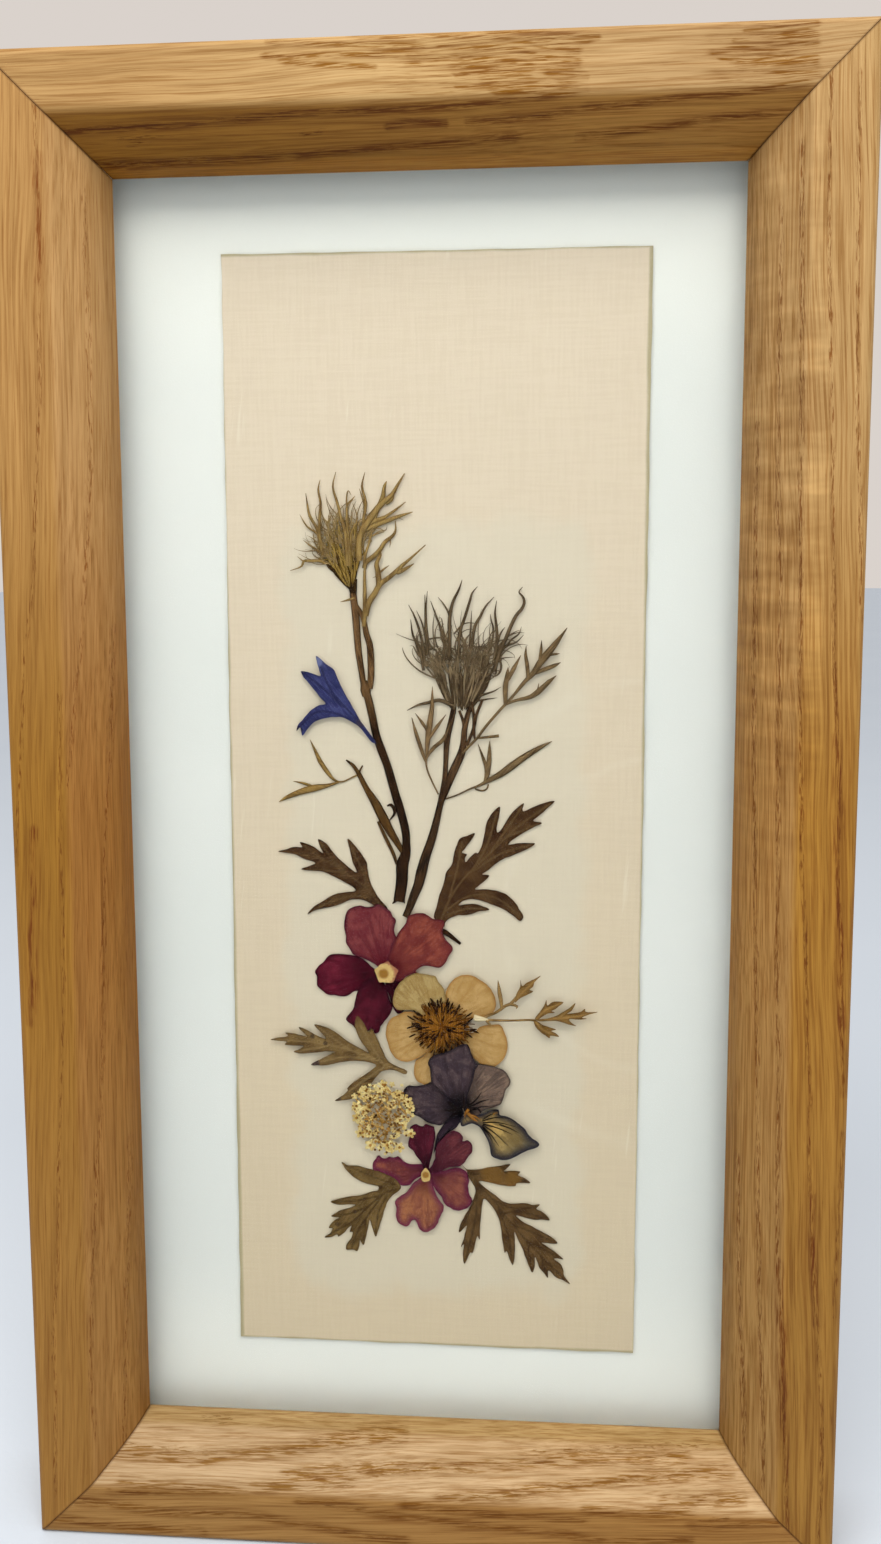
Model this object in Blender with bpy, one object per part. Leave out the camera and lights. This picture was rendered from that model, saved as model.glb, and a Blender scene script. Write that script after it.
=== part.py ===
"""A pressed flower frame: a tall mitred hardwood frame with glass, and a card of pressed flowers inside.

Metres, +Z up. The frame stands on its bottom rail and faces -Y. The origin is the middle of its base.
Outlines are drawn on the card in millimetres: x from the frame's middle, z from the frame's bottom edge.
"""

from math import cos, pi, sin

import bmesh
import bpy
from mathutils import Vector
from mathutils.geometry import delaunay_2d_cdt

MM = 0.001

# Frame, in millimetres. It fits a 5 by 10 inch (127 by 254 mm) sheet of glass.
GLASS_WIDTH = 127.0
GLASS_HEIGHT = 254.0
LIP = 6.35  # how far the rebate's lip covers the glass on each side
RAIL_WIDTH = 19.6
RAIL_DEPTH = 24.0
LIP_DEPTH = 12.8  # from the frame's front down to the glass
MITRE_GAP = 0.25
ARRIS = 1.5  # radius of the outer front edge

# What lies in the rebate, from the front to the back, in millimetres.
FIT_GAP = 0.3
GLASS_THICKNESS = 2.0
SPECIMEN_SPACE = 2.6
CARD_THICKNESS = 0.3
BOARD_THICKNESS = 1.4
BACKING_THICKNESS = 2.5
TAB_THICKNESS = 0.4
EDGE_GAP = 0.5  # between a sheet's edge and the rebate's wall

# The cream card, which lies a little off centre and turned.
CARD_WIDTH = 80.1
CARD_HEIGHT = 216.3
CARD_OFFSET = 1.2
CARD_DROP = 0.27
CARD_TURN = 0.0033  # radians, anticlockwise

# Hanger on the back of the top rail.
HANGER_LENGTH = 44.0
HANGER_HEIGHT = 8.0
HANGER_THICKNESS = 0.8
HANGER_TEETH = 9
PIN_HEAD = 0.7
PIN_RADIUS = 2.2
PIN_SPACING = 36.0

# Heights of the pressed pieces above the card: they lie in layers, the nearer to the glass the higher.
FIRST_LAYER = 0.2
LAYER_PITCH = 0.3
PETAL = 0.15
STALK = 0.45

RAIL_BACK = RAIL_WIDTH - LIP
OUTER_WIDTH = GLASS_WIDTH + 2 * RAIL_BACK
OUTER_HEIGHT = GLASS_HEIGHT + 2 * RAIL_BACK
FRONT = -(RAIL_DEPTH + HANGER_THICKNESS + PIN_HEAD + 2 * FIT_GAP) / 2
GLASS_FRONT = FRONT + LIP_DEPTH + FIT_GAP
CARD_FRONT = GLASS_FRONT + GLASS_THICKNESS + SPECIMEN_SPACE
BOARD_FRONT = CARD_FRONT + CARD_THICKNESS + FIT_GAP
BACKING_FRONT = BOARD_FRONT + BOARD_THICKNESS + FIT_GAP
TAB_FRONT = BACKING_FRONT + BACKING_THICKNESS + FIT_GAP
HANGER_FRONT = FRONT + RAIL_DEPTH + FIT_GAP
MIDDLE_HEIGHT = OUTER_HEIGHT / 2

for leftover in list(bpy.data.objects):
    bpy.data.objects.remove(leftover, do_unlink=True)


def linear(channel):
    """A 0 to 255 screen value as the linear value that a material takes."""
    share = channel / 255
    return share / 12.92 if share <= 0.04045 else ((share + 0.055) / 1.055) ** 2.4


def finish(name, colour, roughness, metallic=0.0):
    """A plain material of one screen colour."""
    material = bpy.data.materials.new(name)
    material.use_nodes = True
    shader = material.node_tree.nodes["Principled BSDF"]
    rgb = tuple(linear(channel) for channel in colour)
    shader.inputs["Base Color"].default_value = (*rgb, 1.0)
    shader.inputs["Roughness"].default_value = roughness
    shader.inputs["Metallic"].default_value = metallic
    material.diffuse_color = (*rgb, 1.0)
    return material


def place(mesh, name, material):
    """The finished bmesh, in millimetres, as a named object in metres."""
    bmesh.ops.recalc_face_normals(mesh, faces=mesh.faces)
    bmesh.ops.scale(mesh, vec=(MM, MM, MM), verts=mesh.verts)
    data = bpy.data.meshes.new(name)
    mesh.to_mesh(data)
    mesh.free()
    data.materials.append(material)
    piece = bpy.data.objects.new(name, data)
    bpy.context.scene.collection.objects.link(piece)
    return piece


def anticlockwise(outline):
    """The outline's points in anticlockwise order."""
    points = [Vector(point) for point in outline]
    area = sum(a.cross(b) for a, b in zip(points, points[1:] + points[:1]))
    return points if area > 0 else points[::-1]


def sheet(shapes, front, back):
    """A flat closed plate of the shapes' union, each an outline of (x, z), between two depths along Y."""
    points = []
    loops = []
    for outline in shapes:
        loops.append(list(range(len(points), len(points) + len(outline))))
        points.extend(anticlockwise(outline))
    corners, _, faces, _, _, owners = delaunay_2d_cdt(points, [], loops, 0, 0.004)
    filled = [face for face, owner in zip(faces, owners) if owner]
    used = sorted({index for face in filled for index in face})
    mesh = bmesh.new()
    vertex = {index: mesh.verts.new((corners[index].x, front, corners[index].y)) for index in used}
    flat = [mesh.faces.new([vertex[index] for index in face]) for face in filled]
    thick = bmesh.ops.extrude_face_region(mesh, geom=flat)
    moved = [part for part in thick["geom"] if isinstance(part, bmesh.types.BMVert)]
    bmesh.ops.translate(mesh, verts=moved, vec=(0, back - front, 0))
    return mesh


def rounded(points, steps=2):
    """A smooth closed outline through the points."""
    count = len(points)
    curve = []
    for index in range(count):
        a, b, c, d = (Vector(points[(index + step) % count]) for step in (-1, 0, 1, 2))
        for step in range(steps):
            t = step / steps
            curve.append(0.5 * (2 * b + (c - a) * t + (2 * a - 5 * b + 4 * c - d) * t**2
                                + (3 * b - a - 3 * c + d) * t**3))
    return curve


def strand(points, width, tip=None):
    """The outline of a strip along the points. Its width runs to tip, or a list gives it at each point."""
    line = [Vector(point) for point in points]
    last = len(line) - 1
    end = width if tip is None else tip
    left = []
    right = []
    for index, point in enumerate(line):
        along = (line[min(index + 1, last)] - line[max(index - 1, 0)]).normalized()
        wide = width[index] if isinstance(width, list) else width + (end - width) * index / last
        side = Vector((-along.y, along.x)) * wide / 2
        left.append(point + side)
        right.append(point - side)
    return left + right[::-1]


def disc(x, z, radius, sides=8):
    """A round spot."""
    return [(x + radius * cos(2 * pi * k / sides), z + radius * sin(2 * pi * k / sides)) for k in range(sides)]


def pressed(name, shapes, layer, thickness, material):
    """A pressed piece that lies in its layer above the card."""
    back = CARD_FRONT - FIRST_LAYER - layer * LAYER_PITCH
    return place(sheet(shapes, back - thickness, back), name, material)


def board(name, width, height, front, thickness, material):
    """A rectangular sheet in the middle of the frame."""
    low = MIDDLE_HEIGHT - height / 2
    corners = [(-width / 2, low), (width / 2, low), (width / 2, low + height), (-width / 2, low + height)]
    return place(sheet([corners], front, front + thickness), name, material)


# ---------------------------------------------------------------- frame

def moulding_profile():
    """The moulding's section as (inset from the outer edge, depth behind the front), all the way round."""
    arris = [(ARRIS * (1 - cos(k * pi / 6)), ARRIS * (1 - sin(k * pi / 6))) for k in range(4)]
    scoop = [(10.2, 0.05), (11.1, 0.4), (12.0, 1.1), (13.5, 2.6), (15.3, 4.4), (17.0, 6.5), (18.4, 9.0), (19.2, 11.2)]
    lip = [(RAIL_WIDTH, LIP_DEPTH), (RAIL_BACK, LIP_DEPTH), (RAIL_BACK, RAIL_DEPTH), (0.0, RAIL_DEPTH)]
    return arris + scoop + lip


def rail(name, start, end, inward, material):
    """A mitred length of moulding between two outer corners of the frame, given as (x, z)."""
    start = Vector(start)
    end = Vector(end)
    inward = Vector(inward)
    along = (end - start).normalized()
    set_back = MITRE_GAP / 2 * 2**0.5
    mesh = bmesh.new()
    rings = []
    for corner, direction in ((start, along), (end, -along)):
        spots = [(corner + direction * (inset + set_back) + inward * inset, depth)
                 for inset, depth in moulding_profile()]
        rings.append([mesh.verts.new((spot.x, FRONT + depth, spot.y)) for spot, depth in spots])
        mesh.faces.new(rings[-1])
    count = len(rings[0])
    for index in range(count):
        after = (index + 1) % count
        mesh.faces.new([rings[0][index], rings[0][after], rings[1][after], rings[1][index]])
    piece = place(mesh, name, material)
    piece.data.shade_smooth()
    piece.data.set_sharp_from_angle(angle=pi / 6)
    return piece


pale_wood = finish("pale hardwood", (205, 162, 105), 0.45)
half = OUTER_WIDTH / 2
rail("frame_bottom_rail", (-half, 0), (half, 0), (0, 1), pale_wood)
rail("frame_top_rail", (half, OUTER_HEIGHT), (-half, OUTER_HEIGHT), (0, -1), pale_wood)
rail("frame_left_stile", (-half, OUTER_HEIGHT), (-half, 0), (1, 0), pale_wood)
rail("frame_right_stile", (half, 0), (half, OUTER_HEIGHT), (-1, 0), pale_wood)

# ---------------------------------------------------------------- sheets in the rebate

sheet_width = GLASS_WIDTH - 2 * EDGE_GAP
sheet_height = GLASS_HEIGHT - 2 * EDGE_GAP
glass = finish("window glass", (230, 236, 235), 0.03)
glass.node_tree.nodes["Principled BSDF"].inputs["Transmission Weight"].default_value = 1.0
board("glass_pane", sheet_width, sheet_height, GLASS_FRONT, GLASS_THICKNESS, glass)
board("mount_board", sheet_width, sheet_height, BOARD_FRONT, BOARD_THICKNESS,
      finish("white mount board", (226, 227, 221), 0.9))
board("backing_board", sheet_width, sheet_height, BACKING_FRONT, BACKING_THICKNESS,
      finish("backing board", (134, 96, 62), 0.75))

card_middle = Vector((CARD_OFFSET, MIDDLE_HEIGHT - CARD_DROP))
card_corners = []
for side, up in ((-1, -1), (1, -1), (1, 1), (-1, 1)):
    x = side * CARD_WIDTH / 2
    z = up * CARD_HEIGHT / 2
    turned = Vector((x * cos(CARD_TURN) - z * sin(CARD_TURN), x * sin(CARD_TURN) + z * cos(CARD_TURN)))
    card_corners.append(card_middle + turned)
place(sheet([card_corners], CARD_FRONT, CARD_FRONT + CARD_THICKNESS), "flower_card",
      finish("cream card", (218, 200, 168), 0.9))

# ---------------------------------------------------------------- fixings on the back

steel = finish("zinc-plated steel", (170, 170, 168), 0.35, 1.0)
brass = finish("brassed steel", (176, 140, 80), 0.3, 1.0)


def framers_tab(name, wall, inward):
    """A flat steel tab that holds the backing board. Its blunt point stands against the rebate's wall."""
    wall = Vector(wall)
    inward = Vector(inward)
    across = Vector((-inward.y, inward.x))
    shape = [(FIT_GAP, -1.2), (3.0, -2.6), (11.0, -2.6), (12.2, -1.5), (12.2, 1.5), (11.0, 2.6), (3.0, 2.6),
             (FIT_GAP, 1.2)]
    outline = [wall + inward * away + across * sideways for away, sideways in shape]
    return place(sheet([outline], TAB_FRONT, TAB_FRONT + TAB_THICKNESS), name, steel)


wall_x = GLASS_WIDTH / 2
upper = MIDDLE_HEIGHT + GLASS_HEIGHT / 4
lower = MIDDLE_HEIGHT - GLASS_HEIGHT / 4
framers_tab("tab_top", (0, OUTER_HEIGHT - RAIL_BACK), (0, -1))
framers_tab("tab_bottom", (0, RAIL_BACK), (0, 1))
framers_tab("tab_left_upper", (-wall_x, upper), (1, 0))
framers_tab("tab_left_lower", (-wall_x, lower), (1, 0))
framers_tab("tab_right_upper", (wall_x, upper), (-1, 0))
framers_tab("tab_right_lower", (wall_x, lower), (-1, 0))

# The sawtooth hanger lies flat on the rail, its teeth down.
hanger_top = OUTER_HEIGHT - (RAIL_BACK - HANGER_HEIGHT) / 2
hanger_low = hanger_top - HANGER_HEIGHT
toothed = HANGER_LENGTH * 0.5
tooth = toothed / HANGER_TEETH
hanger_outline = [(HANGER_LENGTH / 2, hanger_low + 1.5), (HANGER_LENGTH / 2, hanger_top - 1.5),
                  (HANGER_LENGTH / 2 - 1.5, hanger_top), (1.5 - HANGER_LENGTH / 2, hanger_top),
                  (-HANGER_LENGTH / 2, hanger_top - 1.5), (-HANGER_LENGTH / 2, hanger_low + 1.5),
                  (1.5 - HANGER_LENGTH / 2, hanger_low), (-toothed / 2 - 1.5, hanger_low)]
for step in range(HANGER_TEETH):
    hanger_outline.append((-toothed / 2 + step * tooth, hanger_low + 2.6))
    hanger_outline.append((-toothed / 2 + (step + 0.5) * tooth, hanger_low + 1.1))
hanger_outline += [(toothed / 2, hanger_low + 2.6), (toothed / 2 + 1.5, hanger_low),
                   (HANGER_LENGTH / 2 - 1.5, hanger_low)]
place(sheet([hanger_outline], HANGER_FRONT, HANGER_FRONT + HANGER_THICKNESS), "sawtooth_hanger", brass)
pin_back = HANGER_FRONT + HANGER_THICKNESS + FIT_GAP
for name, x in (("hanger_pin_left", -PIN_SPACING / 2), ("hanger_pin_right", PIN_SPACING / 2)):
    head = disc(x, hanger_top - HANGER_HEIGHT / 2, PIN_RADIUS, 16)
    place(sheet([head], pin_back, pin_back + PIN_HEAD), name, brass)

# ---------------------------------------------------------------- left umbel bud, its stem and its leaves

left_bud_body = [(-14.2, 185), (-16.5, 185.6), (-18.5, 187.3), (-20.1, 189.2), (-20.8, 191.2), (-21, 193.5),
                 (-20.9, 196), (-21.4, 198.5), (-20.4, 200), (-19.6, 199), (-18.6, 200.4), (-17.4, 199.6),
                 (-16.2, 200.2), (-15, 199.2), (-13.8, 200.6), (-12.8, 199.8), (-11, 201), (-11, 198.6),
                 (-12.2, 196.6), (-12.6, 194.5), (-12.4, 192), (-12.7, 189), (-13.3, 186.5)]
left_bud_bracts = [
    strand([(-20.5, 196.5), (-20.4, 199), (-20.2, 202), (-20.6, 204.5), (-20.2, 206.3)], 1.0, 0.3),
    strand([(-20.6, 197), (-22.3, 199.5), (-22.7, 201.5), (-23, 203.8)], 0.9, 0.3),
    strand([(-20.3, 195.6), (-22.8, 197.5), (-24.2, 199.8)], 0.9, 0.3),
    strand([(-20.2, 190.8), (-22.6, 191), (-24, 190), (-26.2, 189.2)], 0.9, 0.3),
    strand([(-20.5, 193), (-22.4, 194), (-23.6, 195)], 0.7, 0.3),
    strand([(-15.5, 196), (-16.3, 199), (-17, 202), (-17.8, 205), (-17.2, 207.7)], 1.0, 0.3),
    strand([(-15, 195), (-15.2, 199), (-15.1, 201.5), (-14.2, 202.5), (-13.6, 203.2)], 1.0, 0.3),
    strand([(-12, 199), (-11.6, 202), (-12.3, 205), (-11.7, 207.6)], 1.0, 0.3),
    strand([(-13, 195), (-11, 199), (-9, 201.5), (-6.5, 203.8), (-5.5, 205.5), (-4.2, 207.3)],
           [1.2, 1.6, 1.6, 1.2, 0.8, 0.3]),
    strand([(-8.4, 202), (-8.1, 204), (-7.6, 205.8)], 0.9, 0.3),
    strand([(-12.2, 197), (-10, 198.4), (-8, 199.2), (-5, 200.6), (-2.7, 200.9)], 1.1, 0.4),
    strand([(-12.6, 192), (-10.8, 195), (-10.2, 198)], 0.8),
    strand([(-12.8, 190.2), (-10.2, 191.8), (-8, 194.5), (-6.5, 195.5), (-6, 198.5)], 0.9, 0.4)]
left_sprig = [
    strand([(-12.5, 180), (-11.9, 183), (-11.2, 186), (-11.1, 188.6)], 0.9, 0.5),
    strand([(-12.2, 181.5), (-10, 184.8), (-9, 186.5), (-7, 188), (-5, 189.8), (-3, 191.5), (-0.3, 193.9)],
           [0.8, 0.8, 1.2, 1.4, 1.2, 0.9, 0.3]),
    strand([(-5.8, 188.4), (-4, 189.5), (-2.5, 190.4)], 0.8, 0.3),
    strand([(-9.1, 186), (-9.4, 188.4), (-9.6, 190.3)], 1.0, 0.4),
    strand([(-9.3, 187.9), (-7.2, 190.1)], 0.6, 0.3)]
left_stem = [
    strand([(-14.2, 184.4), (-13.8, 180), (-13.3, 174), (-12.7, 169), (-12.1, 166)], 1.1, 1.4),
    strand([(-13.9, 182.6), (-12.3, 180.2), (-11.6, 177), (-11, 173.5), (-11.1, 169), (-11.7, 166)], 0.7, 1.2),
    strand([(-12, 166.6), (-10.7, 161), (-9, 154.5), (-7.2, 149), (-5.8, 144), (-4.6, 139.5), (-4.4, 136),
            (-4.8, 132.5), (-5.2, 129), (-6, 124.4)], [1.5, 1.1, 1.1, 1.3, 1.4, 1.3, 1.3, 2.4, 2.4, 2.3]),
    strand([(-8.1, 143.7), (-7, 143.3), (-5.8, 142.4)], 0.9, 1.2)]
side_branch = [
    strand([(-13.6, 150.2), (-12, 147), (-10.2, 144), (-8.7, 141), (-7.4, 138.5), (-6.3, 136.8)],
           [0.7, 1.1, 1.7, 1.9, 1.6, 1.1]),
    strand([(-9.8, 140.5), (-8.2, 137.6), (-7.4, 135.8), (-6.8, 133.6)], 0.9, 0.6),
    strand([(-13.3, 149.8), (-14.5, 151.5), (-15.9, 152.6)], 0.8, 0.4)]
yellow_leaf = [
    strand([(-14.5, 149.2), (-16.5, 148.3), (-19.5, 147.5), (-22, 147), (-24, 146.5), (-27.8, 145), (-29.2, 144.2)],
           [0.5, 0.5, 0.8, 1.8, 1.2, 0.8, 0.3]),
    strand([(-17, 148.2), (-19.7, 150.3), (-21, 152.3), (-22.9, 156.5)], [0.5, 1.0, 1.0, 0.3]),
    strand([(-21.8, 147.2), (-24, 147.8), (-26.3, 148.3)], 0.7, 0.3)]

dry_bud = finish("dry bud, tan", (132, 106, 62), 0.85)
dark_stalk = finish("dry stalk, dark brown", (52, 32, 16), 0.75)
tan_stalk = finish("dry stalk, tan", (110, 85, 50), 0.8)
yellow_dry = finish("dry leaf, yellow-brown", (170, 140, 80), 0.8)
pressed("left_bud", [left_bud_body, *left_bud_bracts], 0, STALK, dry_bud)
pressed("left_bud_sprig", left_sprig, 2, PETAL, tan_stalk)
pressed("left_stem", left_stem, 0, STALK, dark_stalk)
pressed("side_branch", side_branch, 0, STALK, tan_stalk)
pressed("yellow_leaf", yellow_leaf, 0, PETAL, yellow_dry)

# ---------------------------------------------------------------- blue floret

floret_outline = [(-10, 156), (-12.9, 160.2), (-14.5, 163), (-16.3, 166.3), (-18, 170.2), (-19.5, 171.3),
                  (-21.4, 172.9), (-21.3, 171.8), (-20.6, 169.2), (-22.5, 169.6), (-24.4, 169.9), (-22, 166.5),
                  (-19.7, 163.6), (-21, 163.3), (-22.8, 162.1), (-25.2, 159.3), (-25.4, 158.3), (-24.6, 158.6),
                  (-24.3, 157.4), (-23.3, 158.6), (-21.8, 160), (-20, 159.7), (-17.6, 160.8), (-15, 160.3),
                  (-13.4, 159.3), (-10.8, 156.2)]
pressed("blue_floret", [floret_outline], 2, PETAL, finish("blue floret", (62, 66, 118), 0.8))

# ---------------------------------------------------------------- right umbel bud, its stem and its leaves

right_bud_body = [(5.2, 162.6), (3, 164.2), (1, 167), (-0.2, 169.5), (-1.5, 171.5), (-1.7, 173.5), (-1.6, 175.4),
                  (-0.4, 176.6), (0.8, 175.4), (2, 177), (3.2, 176), (4.4, 177.6), (5.6, 176.2), (7, 177.6),
                  (8.2, 176.4), (9.6, 178), (10.8, 176), (12.2, 177.4), (13.2, 176), (13.9, 173.4), (13.2, 171),
                  (12.3, 168.5), (11.5, 166), (9, 164.6), (6.4, 162.7)]
right_bud_bracts = [
    strand([(-1.2, 174), (-2.8, 176.8), (-3.2, 179.8)], 0.9, 0.3),
    strand([(-0.8, 175), (-2.3, 180), (-3.6, 182.6)], 1.0, 0.3),
    strand([(0.2, 175.4), (-0.4, 180), (-0.5, 184.5)], 0.9, 0.3),
    strand([(3, 175.8), (1.8, 180), (0.6, 183.3)], 0.9, 0.3),
    strand([(4.2, 176.5), (4.2, 180), (4.8, 183), (6, 185.5), (6.6, 187.3)], 1.2, 0.3),
    strand([(4.2, 179.4), (3.6, 181.6), (2, 184)], 0.7, 0.3),
    strand([(6.6, 176.6), (7.2, 180.5), (8.1, 183.5), (9.5, 186)], 1.1, 0.3),
    strand([(9.2, 177), (10, 180.3), (12.6, 184)], 0.9, 0.3),
    strand([(13, 175), (13, 179), (12.8, 181), (13.1, 183.3)], 0.8, 0.3),
    strand([(13.3, 172.8), (14.8, 176), (15.8, 178.5), (18, 182), (18.2, 183.4), (17.3, 184.9), (18, 185.9)],
           [1.1, 1.0, 0.9, 0.8, 0.7, 0.6, 0.3]),
    strand([(13.4, 172.6), (15, 174.6), (16.8, 175.4), (18.2, 176.8)], 0.8, 0.3),
    strand([(12.8, 171.8), (14.6, 172.2), (16.6, 172.6)], 0.7, 0.3),
    strand([(5.6, 163), (3.6, 163.8), (0, 163.8), (-2, 163.3), (-4, 162.3)], [0.9, 1.0, 0.9, 0.8, 0.3]),
    strand([(10.6, 165.6), (12.5, 166), (14, 166.9)], 0.8, 0.3),
    strand([(10.2, 165.6), (9.7, 163), (9.1, 160.4), (9.2, 157.9)], 0.9, 0.5)]
right_stem = [
    strand([(4.9, 162.2), (4.4, 160), (3.7, 157), (3.4, 152), (2.8, 146), (1.4, 140), (0.6, 137), (-0.6, 133.5),
            (-1.4, 130.5), (-2, 128), (-3, 125.5), (-3.9, 123), (-4.7, 121.2)],
           [1.1, 1.1, 1.2, 1.0, 1.3, 1.4, 1.6, 1.8, 2.1, 1.9, 1.7, 1.4, 1.3]),
    strand([(7.8, 162.2), (7, 158.5), (6.4, 154), (5.3, 151.5), (4.2, 149), (3, 146)],
           [1.1, 1.1, 1.5, 1.6, 1.6, 1.2])]
right_small_leaf = [
    strand([(1.7, 146.9), (0.2, 149.8), (-0.4, 152.4), (-0.1, 156), (0.8, 163), (0.9, 167)],
           [0.5, 0.5, 0.8, 1.4, 1.3, 0.3]),
    strand([(-0.4, 152.6), (-1.5, 155.5), (-2.3, 158), (-3.1, 161)], 0.9, 0.3),
    strand([(0.1, 158.2), (-1.1, 160), (-2.4, 161.8)], 0.8, 0.3),
    strand([(-0.3, 153.3), (1.3, 155.3), (3, 156.8), (4.3, 160)], 0.9, 0.3),
    strand([(0.1, 156.8), (1.8, 159.3), (3.5, 161.6)], 0.8, 0.3)]
right_feathery_leaf = [
    strand([(7.7, 155.2), (9.3, 156.9), (11, 159.2), (13, 161.6), (14.8, 163.7)], 0.7, 0.8),
    strand([(14.8, 163.2), (14.8, 167), (15.2, 169.5), (15.3, 170.7)], 1.2, 0.3),
    strand([(15, 167.8), (16.4, 170.5), (17.7, 173)], 0.9, 0.3),
    strand([(14.7, 163.4), (16.5, 165.5), (20, 169.5), (22.5, 173), (24.3, 175.3), (26.4, 178.2)],
           [0.6, 0.7, 1.1, 1.8, 1.0, 0.3]),
    strand([(18.8, 168.2), (18.6, 173), (18.7, 174.8)], 0.9, 0.3),
    strand([(21.2, 171.6), (21.5, 174), (21.6, 175.8)], 0.7, 0.3),
    strand([(20.2, 169.7), (22.5, 170.4), (25.2, 171.6)], 0.9, 0.3),
    strand([(14.6, 163.4), (19.5, 165), (21, 166), (23, 167.9), (24.4, 169.1)], [0.6, 0.7, 1.2, 1.0, 0.3]),
    strand([(9.2, 156.8), (11, 157.2), (13.6, 157.5)], 0.5, 0.7)]
right_low_leaf = [
    strand([(3.8, 145.2), (8, 147), (12, 148.9), (16, 151.5), (18, 153), (20.3, 154.5), (23.7, 156.4)],
           [0.5, 0.5, 1.0, 1.8, 1.5, 1.2, 0.3]),
    strand([(11, 148.3), (11.2, 151), (10.6, 153), (9.6, 155.8)], 0.9, 0.3),
    strand([(11.5, 148.6), (11.7, 152.5), (11.8, 156.4)], 1.0, 0.3)]

dark_bud = finish("dry bud, dark", (88, 74, 52), 0.85)
olive_dry = finish("dry leaf, olive", (112, 98, 56), 0.8)
pressed("right_bud", [right_bud_body, *right_bud_bracts], 0, STALK, dark_bud)
pressed("right_stem", right_stem, 0, STALK, dark_stalk)
pressed("right_small_leaf", right_small_leaf, 2, PETAL, olive_dry)
pressed("right_feathery_leaf", right_feathery_leaf, 2, PETAL, olive_dry)
pressed("right_low_leaf", right_low_leaf, 0, PETAL, olive_dry)

# ---------------------------------------------------------------- dark leaves above the flowers

dark_leaf_left = [(-8.2, 122.6), (-10, 125.5), (-11.3, 128), (-11.9, 130.5), (-12.1, 132.3), (-13, 133.8),
                  (-14.5, 135.8), (-15.8, 137), (-15.4, 135), (-14.9, 132.5), (-14.1, 130.3), (-16.5, 132),
                  (-18.5, 134), (-20, 136), (-21.6, 136.8), (-21.2, 135.3), (-20.6, 134), (-22.5, 135.3),
                  (-25.2, 136.2), (-24.7, 135.2), (-26.5, 135.2), (-29.5, 134.3), (-26, 133.7), (-24.5, 132.9),
                  (-22.2, 132.1), (-23.5, 131.4), (-25, 130.8), (-23, 130.5), (-21, 130.4), (-19, 129.6),
                  (-16.5, 128.3), (-14.3, 126.6), (-16, 126.3), (-18.5, 125.8), (-21, 124.3), (-22.7, 123.2),
                  (-23.9, 121.7), (-22.5, 122.5), (-20, 123.1), (-15.5, 124.7), (-14, 124.9), (-12.2, 124.5),
                  (-10.5, 123.5), (-9.5, 122.3)]
dark_leaf_right = [(1, 121.5), (1.5, 123.5), (2.1, 126), (3, 128.5), (3.4, 130.5), (4.5, 132), (5, 134.5),
                   (5.5, 136), (6.2, 137.3), (9, 138.3), (8, 136.6), (7, 135.2), (7.2, 132.6), (8, 133.5),
                   (9.5, 134.4), (10.3, 135.8), (10.8, 138), (11.3, 140.5), (12.3, 142.3), (13.8, 143.6),
                   (13.6, 141.5), (13.3, 138.5), (14, 139), (14.8, 140.3), (15.8, 142), (17, 143.3),
                   (18.4, 144.3), (18.3, 142.7), (20, 143.5), (22, 144.3), (24.3, 144.8), (23, 143.5),
                   (20.2, 140.9), (21.9, 140.5), (20.5, 139.7), (18, 138.3), (15.4, 136.1), (17, 136.4),
                   (20.6, 136.4), (18, 134.8), (14.5, 133.3), (11.5, 131), (10.4, 130.2), (11.8, 130),
                   (11, 129), (9, 127.2), (13, 127), (15, 126.3), (16.5, 125), (17.6, 123.4), (18.4, 121.8),
                   (17.8, 121), (16.5, 122), (14.5, 123.3), (12, 124.3), (10, 125), (8, 125.2), (5.8, 124),
                   (9, 124.3), (10.3, 123.9), (11.8, 123.2), (9.8, 122.8), (7.3, 122), (5.5, 121.9),
                   (3.3, 120.6), (2.9, 119.7)]
dark_leaf = finish("dry leaf, dark brown", (76, 58, 38), 0.85)
pressed("dark_leaf_left", [dark_leaf_left], 0, PETAL, dark_leaf)
pressed("dark_leaf_right", [dark_leaf_right], 0, PETAL, dark_leaf)
pressed("loose_stalk", [strand([(-0.8, 120.2), (2.3, 118.8), (3.2, 118.5), (6.2, 116.2)], 0.7)], 0, PETAL, tan_stalk)

# ---------------------------------------------------------------- red flower

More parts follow.
